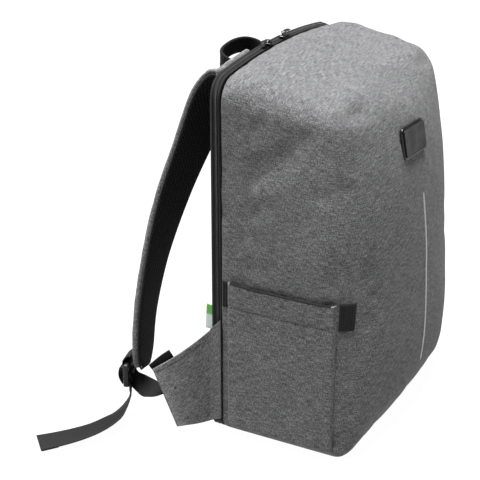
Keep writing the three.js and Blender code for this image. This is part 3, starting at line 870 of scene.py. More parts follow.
def hinge_binding():
    """Folded tape round the base that joins the panel to the shell below the zip's ends."""
    ts = np.linspace(0, 1, 121)
    lines = []
    for y, inset in ((77.3, 2.0), (78.2, 0.9), (80.5, 1.1), (83.3, 1.3), (86.2, 1.1), (88.6, 1.4), (89.4, 2.2),
                     (88.4, 3.2), (83.5, 3.3), (78.4, 3.2)):
        whole = ring(y, inset, np.linspace(0, 1, 2001), whole=True)
        left = whole[:1001][whole[:1001, 2] < 17.6]
        path = np.vstack([(left * [-1, 1, 1])[::-1], left])
        along = lengths(path)
        lines.append(np.stack([np.interp(ts * along[-1], along, path[:, k]) for k in range(3)], 1))
    return loft("hinge_tape", np.stack(lines, 1), BINDING)


hinge = hinge_binding()


# ---------------------------------------------------------------- front: strip and plate
def make_strip():
    """Narrow reflective tape stitched on the front's centre line."""
    rows, columns = 90, 7
    low, high = (float(corner[2]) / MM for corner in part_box("reflective_strip"))
    grid = np.zeros((rows, columns, 3))
    for r, z in enumerate(np.linspace(low, high, rows)):
        end = min(z - low, high - z)
        width = 1.8 * math.sqrt(1 - max(1 - end / 1.6, 0) ** 2) + 0.02
        for c, a in enumerate(np.linspace(-1, 1, columns)):
            stand = 0.15 + 0.55 * (1 - abs(a) ** 4)
            grid[r, c] = on_shell((a * width, -400, z), (0, 1, 0), stand)[0]
    u, v = np.meshgrid(np.linspace(-1.8, 1.8, columns), np.linspace(0, high - low, rows))
    strip = grid_object("reflective_line", grid, np.stack([u, v], 2), REFLECTIVE)
    return thicken(strip, 0.0004, -1)


def rounded_outline(width, height, radius):
    out = []
    for k, (sx, sy) in enumerate(((1, 1), (-1, 1), (-1, -1), (1, -1))):
        a = np.linspace(0, np.pi / 2, 9) + k * np.pi / 2
        out.append(np.stack([sx * (width / 2 - radius) + radius * np.cos(a),
                             sy * (height / 2 - radius) + radius * np.sin(a)], 1))
    return np.vstack(out)


def plate(name, node, width, height, radius, steps, material):
    """A rounded plate in the plane of its CAD node. steps are (share of its thickness, inset) from back to
    front."""
    points = np.array([v.co[:] for v in CAD[node].data.vertices]) / MM
    centre = points.mean(0)
    _, _, axes = np.linalg.svd(points - centre)
    normal = axes[2] * (-1 if axes[2][1] > 0 else 1)
    across = np.cross([0, 0, 1.0], normal)
    across /= np.linalg.norm(across)
    up = np.cross(normal, across)
    up = up if up[2] > 0 else -up
    depth = (points - centre) @ normal
    low, high = depth.min(), depth.max()
    middle = centre + across * ((points - centre) @ across).mean()
    sections = []
    for share, inset in steps:
        outline = rounded_outline(width - 2 * inset, height - 2 * inset, max(radius - inset, 0.5))
        out = normal * lerp(low, high, share)
        sections.append(middle + outline[:, :1] * across + outline[:, 1:] * up + out)
    return loft(name, sections, material)


badge_base = plate("badge_housing", "badge_base", 56, 37, 6,
                   [(0, 1.2), (0.05, 0.4), (0.3, 0.0), (0.75, 0.0), (0.92, 0.35), (1.0, 1.1), (1.0, 2.0)],
                   RIM_PLASTIC)
badge_face = plate("badge_face", "badge_plate", 52, 33, 5,
                   [(0, 0.3), (0.5, 0.0), (0.8, 0.1), (0.95, 0.5), (1.0, 1.1), (0.9, 1.5), (0.9, 2.4)],
                   GREY_PLASTIC)
strip = make_strip()


# ---------------------------------------------------------------- side pockets
POCKET = {"front": -68, "back": 68, "bottom": 12, "top": 202, "hem": 30}


def pocket_surface(u, v):
    """u from front to back and v from bottom to top, both 0 to 1, as a point on the pocket's outer face."""
    y = lerp(POCKET["front"], POCKET["back"], u)
    z = lerp(POCKET["bottom"], POCKET["top"], v)
    edge = min(y - POCKET["front"], POCKET["back"] - y)
    foot = z - POCKET["bottom"]
    rounded_edge = math.sqrt(max(1 - max(1 - edge / 4.0, 0) ** 2, 0))
    rounded = rounded_edge * math.sqrt(max(1 - max(1 - foot / 5.0, 0) ** 2, 0))
    belly = 1 - (2 * u - 1) ** 4
    mouth = smoothstep(v, 0.75, 1.0)
    stand = 1.0 + rounded * (4.6 + belly * (2.0 + 1.2 * mouth))
    wander = 0.55 * noise.noise(Vector((y / 34, z / 42, 3.1)))
    wander += 0.25 * noise.noise(Vector((y / 13, z / 17, 8.0)))
    pull = 0.6 * math.exp(-((z - (POCKET["top"] - POCKET["hem"])) / 2.2) ** 2)
    stand += rounded * (wander - pull)
    sag = 1.1 * belly * mouth
    return np.array([-HALF_WIDTH - 0.3 - stand, y, z - sag])


def edge_spaced(count, radius_share):
    """0 to 1 with closer rows near both ends."""
    t = np.linspace(0, 1, count)
    return lerp(t, 0.5 - 0.5 * np.cos(np.pi * t), radius_share)


def make_pocket():
    size = (POCKET["back"] - POCKET["front"], POCKET["top"] - POCKET["bottom"])
    body = cloth_sheet("pocket_left", pocket_surface, edge_spaced(60, 0.6), edge_spaced(84, 0.45), size, CLOTH)
    body.data.materials.append(LINING)
    body.data.flip_normals()
    return face_out(thicken(body, 0.0022, -1, lining=1))


def along_pocket(v, lift, steps=80):
    """A line across the pocket at height v, lift mm off its face."""
    line = np.array([pocket_surface(u, v) for u in np.linspace(0.035, 0.965, steps)])
    line[:, 0] -= lift
    return line


pocket = make_pocket()
hem_line = along_pocket(1 - POCKET["hem"] / (POCKET["top"] - POCKET["bottom"]), 0.15)
hem_stitch = stitches("pocket_hem_stitch_left", hem_line, np.tile([-1, 0, 0], (len(hem_line), 1)),
                      DARK_THREAD, length=2.6, gap=1.0, width=0.6)
binding_path = along_pocket(1.0, -0.9, 90)
binding_path[:, 2] += 0.2
pocket_binding = tube("pocket_binding_left", binding_path, 1.25, BINDING, around=8)


def elastic(name, y0, y1, z0, z1, folds):
    """Gathered elastic on the shell beside the pocket's mouth."""
    def point(u, v):
        y, z = lerp(y0, y1, u), lerp(z0, z1, v)
        rim = min(min(u, 1 - u) * (y1 - y0), min(v, 1 - v) * (z1 - z0))
        rise = 0.7 + 0.9 * min(rim / 1.2, 1) + 0.45 * math.sin(2 * math.pi * folds * u) * min(rim / 2.5, 1)
        rise += 0.2 * noise.noise(Vector((y / 3, z / 6, 2)))
        return side_x(y, z, rise)[0]

    us, vs = np.linspace(0, 1, folds * 8 + 1), np.linspace(0, 1, 26)
    made = cloth_sheet(name, point, us, vs, (y1 - y0, z1 - z0), ELASTIC)
    return face_out(thicken(made, 0.0009, 1))


gusset_front = elastic("gusset_front_left", -83.5, -68.4, 168, 201, 7)
gusset_back = elastic("gusset_back_left", 68.4, 76.2, 168, 201, 4)


# ---------------------------------------------------------------- back panel
def make_panel():
    outline = ring(BACK_Y, 3.5, np.linspace(0, 1, 260), whole=True)[:-1]
    centre = np.array([0, 0, 225.0])
    sections = []
    for y, share in ((83.9, 0.05), (83.7, 0.3), (83.7, 0.6), (83.7, 0.8), (83.7, 0.93), (83.8, 0.985),
                     (84.6, 1.0), (87.0, 1.0), (89.0, 1.0), (89.8, 0.99), (90.3, 0.965), (90.6, 0.93),
                     (90.5, 0.8), (90.2, 0.6), (90.1, 0.3), (90.1, 0.05)):
        loop = centre + (outline - centre) * [share, 0, share]
        loop[:, 1] = y
        sections.append(loop)
    panel = loft("panel_cloth", sections, CLOTH)
    box_uv(panel)
    points, out = coords(panel), normals(panel)
    soft = 0.5 * ripple(points, 60, 2.0) + 0.3 * ripple(points, 23, 6.0)
    points[:, 1] += np.where(np.abs(out[:, 1]) > 0.5, soft * np.sign(out[:, 1]) * 0.8, 0)
    set_coords(panel, points)
    return panel


panel = make_panel()
panel_piping = tube("panel_piping", ring(90.0, 2.6, np.linspace(0, 1, 500)[:-1], whole=True), 1.5, BINDING,
                    around=8, closed=True)


PAD_HALF, PAD_LOW, PAD_HIGH, PAD_FOOT = 112, 70, 398, 90.5
CHANNELS = ((0, -22), (0, 22), (2, 152), (2, 234), (2, 316))
CHANNEL_WIDTH = 5


def channel_depth(points):
    """0 in a sewn channel of the back padding and 1 away from all of them."""
    depth = np.ones(len(points))
    for axis, line in CHANNELS:
        off = np.abs(points[:, axis] - line)
        depth = np.minimum(depth, smoothstep(off, CHANNEL_WIDTH * 0.25, CHANNEL_WIDTH))
    return depth


def make_back_pad():
    low, high = [-PAD_HALF, PAD_FOOT, PAD_LOW], [PAD_HALF, PAD_FOOT + 8, PAD_HIGH]
    points, faces, uvs = soft_box(low, high, lambda z: 4, (56, 2, 82))
    pad = face_out(new_object("back_pad", points, faces, uvs, MESH))
    depth = channel_depth(points)
    from_end = (PAD_HIGH - PAD_LOW) / 2 - np.abs(points[:, 2] - (PAD_LOW + PAD_HIGH) / 2)
    rim = np.minimum(smoothstep(PAD_HALF - np.abs(points[:, 0]), 0, 4), smoothstep(from_end, 0, 4))
    outer = points[:, 1] > 92
    points[:, 1] -= np.where(outer, (1 - depth) * 5.0, 0)
    points[:, 1] = np.maximum(points[:, 1], PAD_FOOT)
    set_coords(pad, points)
    hold = np.where(outer, 1 - np.minimum(depth, rim), 1)
    puff(pad, hold, pressure=5.0, cap=3.2, bending=0.3)
    points = coords(pad)
    points[:, 1] += np.where(outer, depth * 0.5 * ripple(points, 18, 4.0), 0)
    set_coords(pad, np.maximum(points, [-200, 90.4, 0]))
    return refine(pad)


back_pad = make_back_pad()


ANCHOR = ((-114, PAD_FOOT, 402), (-43, 97.6, 430))
SEAM_IN, SEAM_DEEP = 5, 0.8


def make_anchor():
    """Cloth reinforcement on the panel that holds the strap's upper end, with a seam inside its edge."""
    points, faces, uvs = soft_box(*ANCHOR, lambda z: 3, (30, 4, 13))
    anchor = face_out(new_object("strap_anchor_cloth_left", points, faces, uvs, STRAP_CLOTH))
    push = 0.5 * ripple(points, 14, 2.0)
    edge = np.minimum(35 - np.abs(points[:, 0] + 78.5), 14 - np.abs(points[:, 2] - 416))
    groove = SEAM_DEEP * np.exp(-((edge - SEAM_IN) / 0.9) ** 2)
    points[:, 1] += np.where(points[:, 1] > 96, push - groove, 0)
    set_coords(anchor, np.maximum(points, [-200, 90.4, 0]))
    return refine(anchor)


def make_yoke():
    """Rolled cloth along the panel's upper edge, over the strap's sewn end."""
    points, faces, uvs = soft_box([-126, 90.6, 431], [-54, 98.6, 450.5], lambda z: 3.9, (36, 6, 9))
    points[:, 2] -= CROWN * (points[:, 0] / HALF_WIDTH) ** 2
    yoke = face_out(new_object("strap_yoke_left", points, faces, uvs, STRAP_CLOTH))
    push = 0.6 * ripple(points, 20, 5.0) + 0.3 * ripple(points, 8, 2.0)
    set_coords(yoke, np.maximum(points + normals(yoke) * push[:, None], [-200, 90.5, 0]))
    return refine(yoke)


def make_sleeve():
    """Laptop sleeve on the panel's inner side, open at its top, with an elastic edge."""
    points, faces, uvs = soft_box([-128, 60, 22], [128, 83.3, 298], lambda z: 6, (48, 6, 52))
    sleeve = face_out(new_object("laptop_pocket", points, faces, uvs, LINING))
    front = points[:, 1] < 62
    sag = 2.2 * smoothstep(points[:, 2], 120, 290) * (1 - (points[:, 0] / 128) ** 2)
    points[:, 1] += np.where(front, 0.9 * ripple(points, 40, 5.0) + 0.5 * ripple(points, 16, 8.0) + sag, 0)
    set_coords(sleeve, points)
    cut_away(sleeve, (0, 0, 0.289), (0, 0, 1))
    return face_out(thicken(sleeve, 0.003, -1))


anchor = make_anchor()
yoke = make_yoke()
sleeve = make_sleeve()
sleeve_edge = band("laptop_pocket_elastic", [(-124.5, 62.2, 285), (-60, 63.8, 284.6), (0, 64.4, 284.4),
                                             (60, 63.8, 284.6), (124.5, 62.2, 285)],
                   lambda t: (0, 0, 1), 9, 3.6, ELASTIC, steps=60)


def make_tag():
    def point(u, v):
        x = -147.4 + 0.35 * math.sin(2.6 * v + 1.5 * u) * u
        return x, 90.4 + (11.4 - 2.2 * v) * u, 131.6 + 0.6 * u + 31.6 * v

    sheet = cloth_sheet("side_tag", point, np.linspace(0, 1, 12), np.linspace(0, 1, 30), (10.2, 31.6), TAG)
    return face_out(thicken(sheet, 0.0009, 0))


tag = make_tag()


# ---------------------------------------------------------------- carry handle
def make_handle():
    half = [(27, BACK_Y + 8, 406), (31, BACK_Y + 26, 411), (41, BACK_Y + 41, 422), (34, BACK_Y + 51, 427)]
    path = half + [(0, BACK_Y + 55, 431)] + [(-x, y, z) for x, y, z in half][::-1]
    handle = band("handle_webbing", path, lambda t: (0, 0, 1), 19, 3.4, WEB, steps=110,
                  profile=band_profile(3.4, ribs=5, columns=20))
    lines = []
    for edge in (-6.9, 6.9):
        at, side, normal = stations(path, lambda t: (0, 0, 1), np.linspace(0.04, 0.96, 120))
        for face in (-1, 1):
            lines.append(stitches("row", at + side * edge + normal * face * 1.62, normal * face, THREAD,
                                  length=2.8, gap=1.4, width=0.5))
    return handle, join("handle_stitching", lines)


handle, handle_stitch = make_handle()

# ---------------------------------------------------------------- shoulder straps
# the strap's middle line from its upper end down, and its turn about z in degrees at each point of that line
STRAP = [(-81, 99.5, 423), (-84, 107.5, 417), (-90, 120, 397), (-99.5, 139.5, 343), (-115.5, 162, 272),
         (-134, 175.5, 200), (-149, 182, 130), (-159, 181.5, 64)]
STRAP_TURN = [-6, -26, -29, -23, -15, -3, 4, 8]
PAD_WIDTH_TOP, PAD_WIDTH_END = 70, 46


def strap_across(t):
    return turned(float(np.interp(t * (len(STRAP) - 1), range(len(STRAP)), STRAP_TURN)))


def pad_width(t):
    rounded = math.sqrt(max(1 - (max(t - 0.93, 0) / 0.075) ** 2, 0))
    return lerp(PAD_WIDTH_TOP, PAD_WIDTH_END, t) * (0.35 + 0.65 * rounded)


def pad_profile(thickness, power=3.2):
    """A flat pad with full rounded sides."""
    a = 0.5 * np.sin(np.linspace(-1, 1, 23) * np.pi / 2)
    half = thickness / 2 * np.clip(1 - (2 * np.abs(a)) ** (2 * power), 0, 1) ** 0.5
    top = np.stack([a, half], 1)
    return np.concatenate([top, top[-2:0:-1] * [1, -1]])


def strap_ts(start, steps):
    """Places along the strap, closer together at its rounded lower end."""
    body = np.linspace(start, 0.92, steps)
    return np.concatenate([body, np.linspace(0.92, 0.9985, 14)[1:]])


def make_strap_cover():
    ts = strap_ts(0, 92)
    at, side, normal = stations(STRAP, strap_across, ts)
    profile = pad_profile(9.6)
    wide = np.array([pad_width(t) for t in ts])
    ends = np.array([max(min((t + 0.004) / 0.012, 1), 0) ** 0.5 * max(min((1.0 - t) / 0.012, 1), 0) ** 0.5
                     for t in ts])
    thick = profile[None, :, 1:] * (0.45 + 0.55 * ends)[:, None, None]
    sections = (at[:, None] + side[:, None] * (profile[None, :, :1] * (wide - 2)[:, None, None])
                + normal[:, None] * (thick - 5.1))
    cover = loft("strap_cover_left", sections, STRAP_CLOTH)
    facing = np.tile(profile[:, 1] > -0.5, len(ts))
    edge = np.tile(np.abs(profile[:, 0]) > 0.47, len(ts))
    hold = np.where(facing, 1.0, np.where(edge, 0.35, 0.0))
    hold = np.maximum(hold, np.repeat((ts < 0.03) * 1.0, len(profile)))
    puff(cover, hold, pressure=3.5, cap=1.8, slack=0.006, bending=0.6)
    points = coords(cover)
    out = normals(cover)
    free = np.where(facing, 0.15, 1.0)
    uneven = free * (0.5 * ripple(points, 22, 3.0) + 0.25 * ripple(points, 9, 6.0))
    set_coords(cover, points + out * uneven[:, None])
    return refine(cover)


def make_strap_mesh():
    ts = strap_ts(0.13, 84)
    at, side, normal = stations(STRAP, strap_across, ts)
    profile = pad_profile(3.2, power=1.7)
    wide = np.array([pad_width(t) for t in ts])
    fade = np.array([max(min((t - 0.125) / 0.02, 1), 0) ** 0.5 for t in ts])
    thick = profile[None, :, 1:] * (0.3 + 0.7 * fade)[:, None, None]
    sections = (at[:, None] + side[:, None] * (profile[None, :, :1] * (wide - 7)[:, None, None])
                + normal[:, None] * (thick + 1.9))
    mesh = loft("strap_mesh_pad_left", sections, MESH)
    back = np.tile(profile[:, 1] < 0.2, len(ts))
    edge = np.tile(np.abs(profile[:, 0]) > 0.46, len(ts))
    puff(mesh, np.where(back | edge, 1.0, 0.0), pressure=3.0, cap=1.2, bending=0.4)
    return refine(mesh)


def strap_edge(offset_a, offset_n, start=0.13):
    """A line along the strap, offset_a mm inside its edge, down one side, round the end and up the other."""
    ts = strap_ts(start, 90)
    at, side, normal = stations(STRAP, strap_across, ts)
    wide = np.array([pad_width(t) for t in ts])[:, None] / 2 - offset_a
    one = at + side * wide + normal * offset_n
    two = at - side * wide + normal * offset_n
    return np.vstack([one, two[::-1]])


strap_cover = make_strap_cover()
strap_mesh = make_strap_mesh()
strap_piping = tube("strap_binding_left", strap_edge(2.6, 0.35, 0.02), 1.35, BINDING)

# the ladder lock's middle, its turn about z in degrees, and its rails and bars
BUCKLE = np.array([-160, 203, 54.0])
BUCKLE_TURN = 14
RAIL_X, RAIL_END, BAR_END, BAR_Z = 15.2, 14.6, 15.6, 12.4


def buckle_point(a, b, c):
    """a across, b up and c through the ladder lock, in millimetres from its middle."""
    x, y = turned(BUCKLE_TURN), turned(BUCKLE_TURN + 90)
    return BUCKLE + x * a + np.array([0, 0, 1]) * b + y * c


def bar_between(a, b, half_deep, half_high, bow=0.0):
    """A moulded bar with an oval section between two points of the ladder lock."""
    a, b = np.array(a, float), np.array(b, float)
    run = b - a
    flat = np.array([-run[1], run[0], 0]) / np.linalg.norm(run)
    sections = []
    for t in np.linspace(0, 1, 15):
        centre = lerp(a, b, t) + np.array([0, 0, bow * math.sin(math.pi * t)])
        section = []
        for turn in np.linspace(0, 2 * np.pi, 14, endpoint=False):
            high, deep = oval(turn, 0.8)
            p = centre + high * flat * half_high
            section.append(buckle_point(p[0], p[1], p[2] + deep * half_deep))
        sections.append(section)
    return loft("bar", sections, BLACK_PLASTIC)


def make_ladder_lock():
    """Two side rails and three bars."""
    parts = [bar_between((x, -RAIL_END, 0), (x, RAIL_END, 0), 3.6, 2.2) for x in (-RAIL_X, RAIL_X)]
    for height, half_high, bow in ((-BAR_Z, 2.4, 0.3), (0, 1.9, -0.2), (BAR_Z, 2.4, 0.2)):
        parts.append(bar_between((-BAR_END, height, 0), (BAR_END, height, 0), 3.4, half_high, bow))
    return join("ladder_lock_body_left", parts)


ladder_lock = make_ladder_lock()


def make_loop():
    """Webbing from under the pad, round the ladder lock's upper bar and back up."""
    x, y, z = BUCKLE
    bar = z + BAR_Z
    path = [(x + 3, y - 19, bar + 16), (x + 1, y - 13, bar + 11), (x, y - 6.4, bar + 4), (x, y - 5.2, bar - 1),
            (x, y, bar - 3.4), (x, y + 5.2, bar - 1), (x, y + 5.6, bar + 4), (x + 1, y - 3, bar + 13),
            (x + 3, y - 16, bar + 20)]
    return band("buckle_loop_left", path, lambda t: turned(BUCKLE_TURN), 23, 1.4, WEB, steps=90)


loop = make_loop()

# ---------------------------------------------------------------- wings and lower webbing
ROOT_TOP, ROOT_BOTTOM = np.array([-150, BACK_Y + 3.5, 132.0]), np.array([-150, BACK_Y + 3.5, 8.5])
TIP_TOP, TIP_BOTTOM = np.array([-192, 150, 85.0]), np.array([-193, 116, 16.0])
WING_OUT = np.array([-0.78, -0.62, 0])
WING_BOW = 7
WING_SIZE = (75, 100)
FLAP_SIZE = (17, 128)


def wing_point(u, v, offset=0.0):
    """u from the seam to the tip and v from the top edge to the bottom edge."""
    top, bottom = lerp(ROOT_TOP, TIP_TOP, u), lerp(ROOT_BOTTOM, TIP_BOTTOM, u)
    swell = math.sin(math.pi * min(max(u, 0), 1))
    hang = np.array([0, 0, -swell * lerp(8, 5.5, v)])
    return lerp(top, bottom, v) + hang + WING_OUT * (offset - WING_BOW * swell)


def make_wing():
    def point(u, v):
        wave = 0.9 * noise.noise(Vector((u * 2.2, v * 2.8, 5))) + 0.4 * noise.noise(Vector((u * 6, v * 8, 1)))
        fall = math.sin(math.pi * min(u * 1.2, 1)) * 0.8
        hem = 0.5 * math.exp(-((min(v, 1 - v) * 110 - 9) / 1.6) ** 2) * min(u * 6, 1)
        return wing_point(u, v, wave * fall - hem)

    us, vs = edge_spaced(44, 0.35), edge_spaced(60, 0.35)
    sheet = cloth_sheet("wing_cloth_left", point, us, vs, WING_SIZE, CLOTH)
    return refine(face_out(thicken(sheet, 0.0024, 0)))


def make_wing_root():
    """The wing's seam allowance: a flap from the wing's seam over the zip tapes, beside the panel."""
    def point(u, v):
        z = lerp(lerp(151, 132, u), lerp(17.5, 8.5, u), v)
        wave = 0.35 * noise.noise(Vector((u * 2, z / 14, 4)))
        return -lerp(154.6, 151.2, u) - wave, lerp(RIM_Y + 0.5, BACK_Y + 4.5, u), z

    us, vs = np.linspace(0, 1, 14), np.linspace(0, 1, 60)
    sheet = cloth_sheet("wing_root_left", point, us, vs, FLAP_SIZE, CLOTH)
    return refine(face_out(thicken(sheet, 0.0016, 0)))


def wing_stitch(v):
    path = np.array([wing_point(u, v, 1.35) for u in np.linspace(0.05, 0.97, 70)])
    return stitches("row", path, np.tile(WING_OUT, (70, 1)), DARK_THREAD, length=2.8, gap=1.4, width=0.5)


wing = make_wing()
wing_root = make_wing_root()
wing_hem = join("wing_stitch_left", [wing_stitch(0.075), wing_stitch(0.93)])


def make_keeper():
    path = [wing_point(u, 0, -3.6) + np.array([0, 0, rise]) for u, rise in ((0.99, -4), (0.8, 0), (0.63, 1))]
    return band("wing_keeper_webbing_left", path, lambda t: (0, 0, 1), 18.5, 1.7, WEB, steps=30)


def make_lower_webbing():
    """From the ladder lock's foot the webbing twists a quarter turn and ends on the wing's hidden side."""
    x, y, z = BUCKLE
    path = [(x + 0.5, y - 4, z - 9), (x - 3, y - 12, z - 11), (x - 8, y - 23, z - 10.5),
            (x - 16, y - 41, z - 8), (x - 22, y - 58, z - 4), (x - 19.5, y - 67, z - 1), (x - 14, y - 75, z + 3)]

    def across(t):
        return lerp(np.array([0.1, -0.3, 1]), np.array([0.85, -0.4, 0.05]), smoothstep(t, 0.12, 0.78))

    def gathered(t):
        return WEBBING * (1 - 0.6 * smoothstep(t, 0.62, 0.86))

    return band("lower_webbing_strap_left", path, across, gathered, 1.6, WEB, steps=90)


def make_buckle_turn():
    """The webbing where it runs up through the ladder lock, over the middle bar and down again."""
    run = [(6.0, -14.5), (9.6, -8), (10.8, -3), (10.6, 2), (8.4, 8), (4.4, 7.6), (0.6, 4.6), (-3.6, 1),
           (-4.4, -6), (-4.8, -10)]
    path = [buckle_point(0, b, c) for c, b in run]
    return band("buckle_webbing_left", path, lambda t: turned(BUCKLE_TURN), 23.5, 1.4, WEB, steps=70)


def make_tail():
    """The free end of the webbing, which drops from the ladder lock and lies out to the side, and its folded
    and sewn hem."""
    x, y, z = BUCKLE
    path = [(x - 2.8, y - 1.2, z - 14), (x - 6.8, y - 4.6, z - 21), (x - 10.7, y - 6.3, z - 27),
            (x - 19.7, y - 7.2, z - 32), (x - 37.4, y - 8.2, z - 36.5), (x - 54, y - 7.3, z - 38.5),
            (x - 77.5, y + 0.1, z - 40.5), (x - 96.3, y + 11.1, z - 41.7), (x - 117, y + 27, z - 42.5),
            (x - 134.6, y + 42.7, z - 43)]

    def across(t):
        return np.array([0.86, 0.46, lerp(-0.36, 0.29, max(t - 0.15, 0) / 0.85)])

    tail = band("tail_webbing_left", path, across, WEBBING, 1.6, WEB, steps=110)
    at, side, _ = stations(path, across, np.linspace(0.90, 0.994, 12))
    fold = band("tail_hem_left", [at[0], at[6], at[11]], lambda t: lerp(side[0], side[11], t), WEBBING - 0.4,
                1.3, WEB, steps=16, offset=1.2)
    rows = []
    for share in (0.915, 0.985):
        at, side, normal = stations(path, across, [share])
        line = at[0] + side[0] * np.linspace(-11, 11, 24)[:, None] - normal[0] * 0.95
        out = np.tile(-normal[0], (24, 1))
        rows.append(stitches("row", line, out, THREAD, length=2.2, gap=0.9, width=0.5))
    return tail, join("tail_hem_stitched_left", [fold] + rows)


keeper = make_keeper()
lower_webbing = make_lower_webbing()
buckle_turn = make_buckle_turn()
tail, tail_hem = make_tail()


# ---------------------------------------------------------------- zip sliders and pulls
def make_slider(name, node):
    """Slider body with a waist, side flanges and a bridge for its pull."""
    low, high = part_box(node)
    low, high = np.array(low) / MM, np.array(high) / MM
    centre = (low + high) / 2
    sections = []
    for t in np.linspace(-1, 1, 17):
        waist = 1 - 0.30 * math.exp(-((t - 0.2) / 0.35) ** 2)
        end = math.sqrt(max(1 - abs(t) ** 6, 0.02))
        section = []
        for turn in np.linspace(0, 2 * np.pi, 20, endpoint=False):
            y, z = oval(turn, 0.6)
            y, z = y * 4.4 * waist * end, z * 1.25 * (0.6 + 0.4 * end)
            section.append((centre[0] + t * 5.5, centre[1] + y, low[2] + 1.3 + z))
        sections.append(section)
    body = loft("body", sections, METAL)
    arch = []
    for turn in np.linspace(0, np.pi, 17):
        arch.append((centre[0] + 3.6 * math.cos(turn), centre[1], low[2] + 2.2 + 2.0 * math.sin(turn)))
    bridge = tube("bridge", arch, 0.75, METAL)
    return refine(join(name, [body, bridge]))


def make_pull(name, node, slider):
    """A wire ring through the bridge and a moulded tab with a grip."""
    low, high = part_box(node)
    low, high = np.array(low) / MM, np.array(high) / MM
    s_low, s_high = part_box(slider)
    pivot = np.array((s_low + s_high) / 2)[0] / MM
    far = high[0] if abs(high[0] - pivot) > abs(low[0] - pivot) else low[0]
    k = math.copysign(1, far - pivot)
    y, z = (low[1] + high[1]) / 2, (low[2] + high[2]) / 2
    link = [(pivot + k * (3.6 - 4.2 * math.cos(a)), y + 2.4 * math.sin(a), z - 0.2)
            for a in np.linspace(0, 2 * np.pi, 28, endpoint=False)]
    wire = tube("wire", link, 0.6, METAL, closed=True)
    sections = []
    for t in np.linspace(0, 1, 21):
        end = math.sqrt(max(1 - abs(2 * t - 1) ** 8, 0.03))
        wide = lerp(2.2, 3.4, float(smoothstep(t, 0, 0.5))) * end
        grip = 0.12 * math.cos(2 * math.pi * 5 * t) if 0.35 < t < 0.9 else 0
        half = (0.72 + grip) * (0.6 + 0.4 * end)
        section = []
        for turn in np.linspace(0, 2 * np.pi, 16, endpoint=False):
            out, up = oval(turn, 0.7)
            section.append((lerp(pivot + k * 5.6, far, t), y + out * wide, z + up * half))
        sections.append(section)
    tab = loft("tab", sections, BLACK_PLASTIC)
    return refine(join(name, [wire, tab]))


sliders = {s: make_slider(f"zip_slider_body_{s}", f"zip_slider_{s}") for s in ("left", "right")}
pulls = {s: make_pull(f"zip_pull_tab_{s}", f"zip_pull_{s}", f"zip_slider_{s}") for s in ("left", "right")}


# ---------------------------------------------------------------- rides
def place(obj, body, slot, *nodes):
    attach(obj, body)
    if nodes:
        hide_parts(*nodes)
    return obj


def both_sides(obj):
    """(left piece, right piece) from a left piece whose name ends in _left."""
    return {"left": obj, "right": mirrored(obj, obj.name.replace("_left", "_right"))}


SINGLE_PIECES = (
    (shell, "shell", "grey_cloth", "outer_shell"), (outer_tape, "shell", "black_tape", "zipper_tape_outer"),
    (outer_coil, "shell", "black_plastic"), (strip, "shell", "reflective_tape", "reflective_strip"),
    (badge_base, "shell", "black_plastic", "badge_base"), (badge_face, "shell", "grey_plastic", "badge_plate"),
    (panel, "back_panel", "grey_cloth", "back_panel"), (panel_piping, "back_panel", "black_tape"),
    (back_pad, "back_panel", "black_mesh", "back_padding"),
    (inner_tape, "back_panel", "black_tape", "zipper_tape_inner"), (inner_coil, "back_panel", "black_plastic"),
    (sleeve, "back_panel", "dark_lining", "laptop_sleeve"), (sleeve_edge, "back_panel", "black_mesh"),
    (tag, "back_panel", "label_cloth", "side_label"), (handle, "carry_handle", "dark_webbing", "carry_handle"),
    (handle_stitch, "carry_handle", "dark_webbing"))
for row in SINGLE_PIECES:
    place(*row)

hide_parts("hinge_binding")
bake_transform(hinge)

SIDES = ("left", "right")


def place_pair(source, body, slot, node=None):
    """Mirrors a left piece, and puts each of the two on its side's body. body and node may hold {side}."""
    pair = both_sides(source)
    for side, piece in pair.items():
        place(piece, body.format(side=side), slot, *([node.format(side=side)] if node else []))
    return pair


fronts = place_pair(gusset_front, "shell", "black_mesh", "pocket_gusset_front_{side}")
backs = place_pair(gusset_back, "shell", "black_mesh", "pocket_gusset_back_{side}")
pockets = place_pair(pocket, "side_pocket_{side}", "grey_cloth", "side_pocket_{side}")
hems = place_pair(hem_stitch, "side_pocket_{side}", "black_tape")
pocket_bindings = place_pair(pocket_binding, "side_pocket_{side}", "black_tape")
anchors = place_pair(anchor, "back_panel", "grey_cloth", "strap_anchor_{side}")
yokes = place_pair(yoke, "back_panel", "grey_cloth")
wing_roots = place_pair(wing_root, "back_panel", "grey_cloth")
covers = place_pair(strap_cover, "strap_{side}", "grey_cloth", "strap_pad_{side}")
meshes = place_pair(strap_mesh, "strap_{side}", "black_mesh", "strap_mesh_{side}")
strap_bindings = place_pair(strap_piping, "strap_{side}", "black_tape")
locks = place_pair(ladder_lock, "strap_{side}", "black_plastic", "ladder_lock_{side}")
loops = place_pair(loop, "strap_{side}", "dark_webbing", "strap_loop_{side}")
wings = place_pair(wing, "strap_{side}", "grey_cloth", "strap_wing_{side}")
wing_rows = place_pair(wing_hem, "strap_{side}", "grey_cloth")
keepers = place_pair(keeper, "strap_{side}", "dark_webbing", "wing_keeper_{side}")
webbings = place_pair(lower_webbing, "strap_{side}", "dark_webbing", "lower_webbing_{side}")
turns = place_pair(buckle_turn, "strap_{side}", "dark_webbing")
tails = place_pair(tail, "tail_{side}", "dark_webbing", "webbing_tail_{side}")
tail_folds = place_pair(tail_hem, "tail_{side}", "dark_webbing")
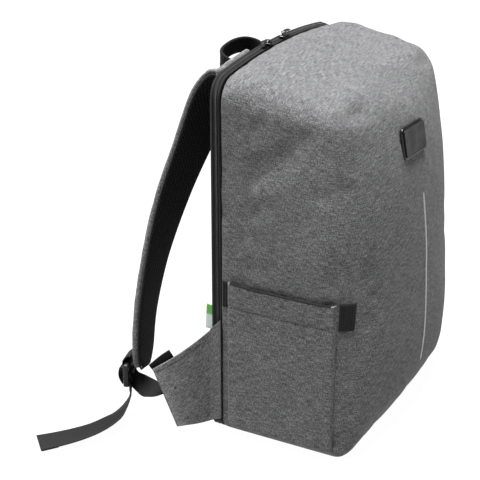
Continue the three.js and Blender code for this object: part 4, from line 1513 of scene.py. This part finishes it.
for side in SIDES:
    place(sliders[side], f"zip_slider_{side}", "dark_metal", f"zip_slider_{side}")
    place(pulls[side], f"zip_pull_{side}", "black_plastic", f"zip_pull_{side}")

# the right strap's upper end lies a little lower on the back than the left one's
RIGHT_DROP = 8.5
for pair in (covers, meshes, strap_bindings, yokes, anchors):
    points = coords(pair["right"])
    points[:, 2] -= RIGHT_DROP * smoothstep(points[:, 2], 370, 432)
    set_coords(pair["right"], points)

board = CAD["bottom_board"]
board.data.materials.clear()
board.data.materials.append(BOARD)


# ---------------------------------------------------------------- floor, light and camera
FAR = 60000
floor = new_object("studio_floor", [(-FAR, -FAR, 0), (FAR, -FAR, 0), (FAR, FAR, 0), (-FAR, FAR, 0)],
                   [(0, 1, 2, 3)], None, studio_floor())

scene = bpy.context.scene
scene.view_settings.view_transform = "Standard"
world = bpy.data.worlds.new("studio")
world.use_nodes = True
world.node_tree.nodes["Background"].inputs["Color"].default_value = (1, 1, 1, 1)
world.node_tree.nodes["Background"].inputs["Strength"].default_value = 0.12
scene.world = world


def soft_sun(name, towards, spread, strength):
    """Light from a wide patch of sky, the same everywhere on the floor."""
    data = bpy.data.lights.new(name, "SUN")
    data.angle, data.energy = math.radians(spread), strength
    light = bpy.data.objects.new(name, data)
    light.rotation_mode = "QUATERNION"
    light.rotation_quaternion = Vector(towards).to_track_quat("-Z", "Y")
    scene.collection.objects.link(light)


soft_sun("overhead", (0.05, -0.12, -1), 34, 11.6)

# the camera's place and the way it looks, as fitted to the photo
CAMERA_AT, CAMERA_LOOK, CAMERA_LENS = (-1.3213, -0.5685, 0.8319), (0.8097, 0.4306, -0.3987), 96.2
camera_data = bpy.data.cameras.new("camera")
camera_data.lens, camera_data.sensor_width = CAMERA_LENS, 36
camera = bpy.data.objects.new("camera", camera_data)
camera.location = CAMERA_AT
camera.rotation_mode = "QUATERNION"
camera.rotation_quaternion = Vector(CAMERA_LOOK).to_track_quat("-Z", "Y")
scene.collection.objects.link(camera)
scene.camera = camera
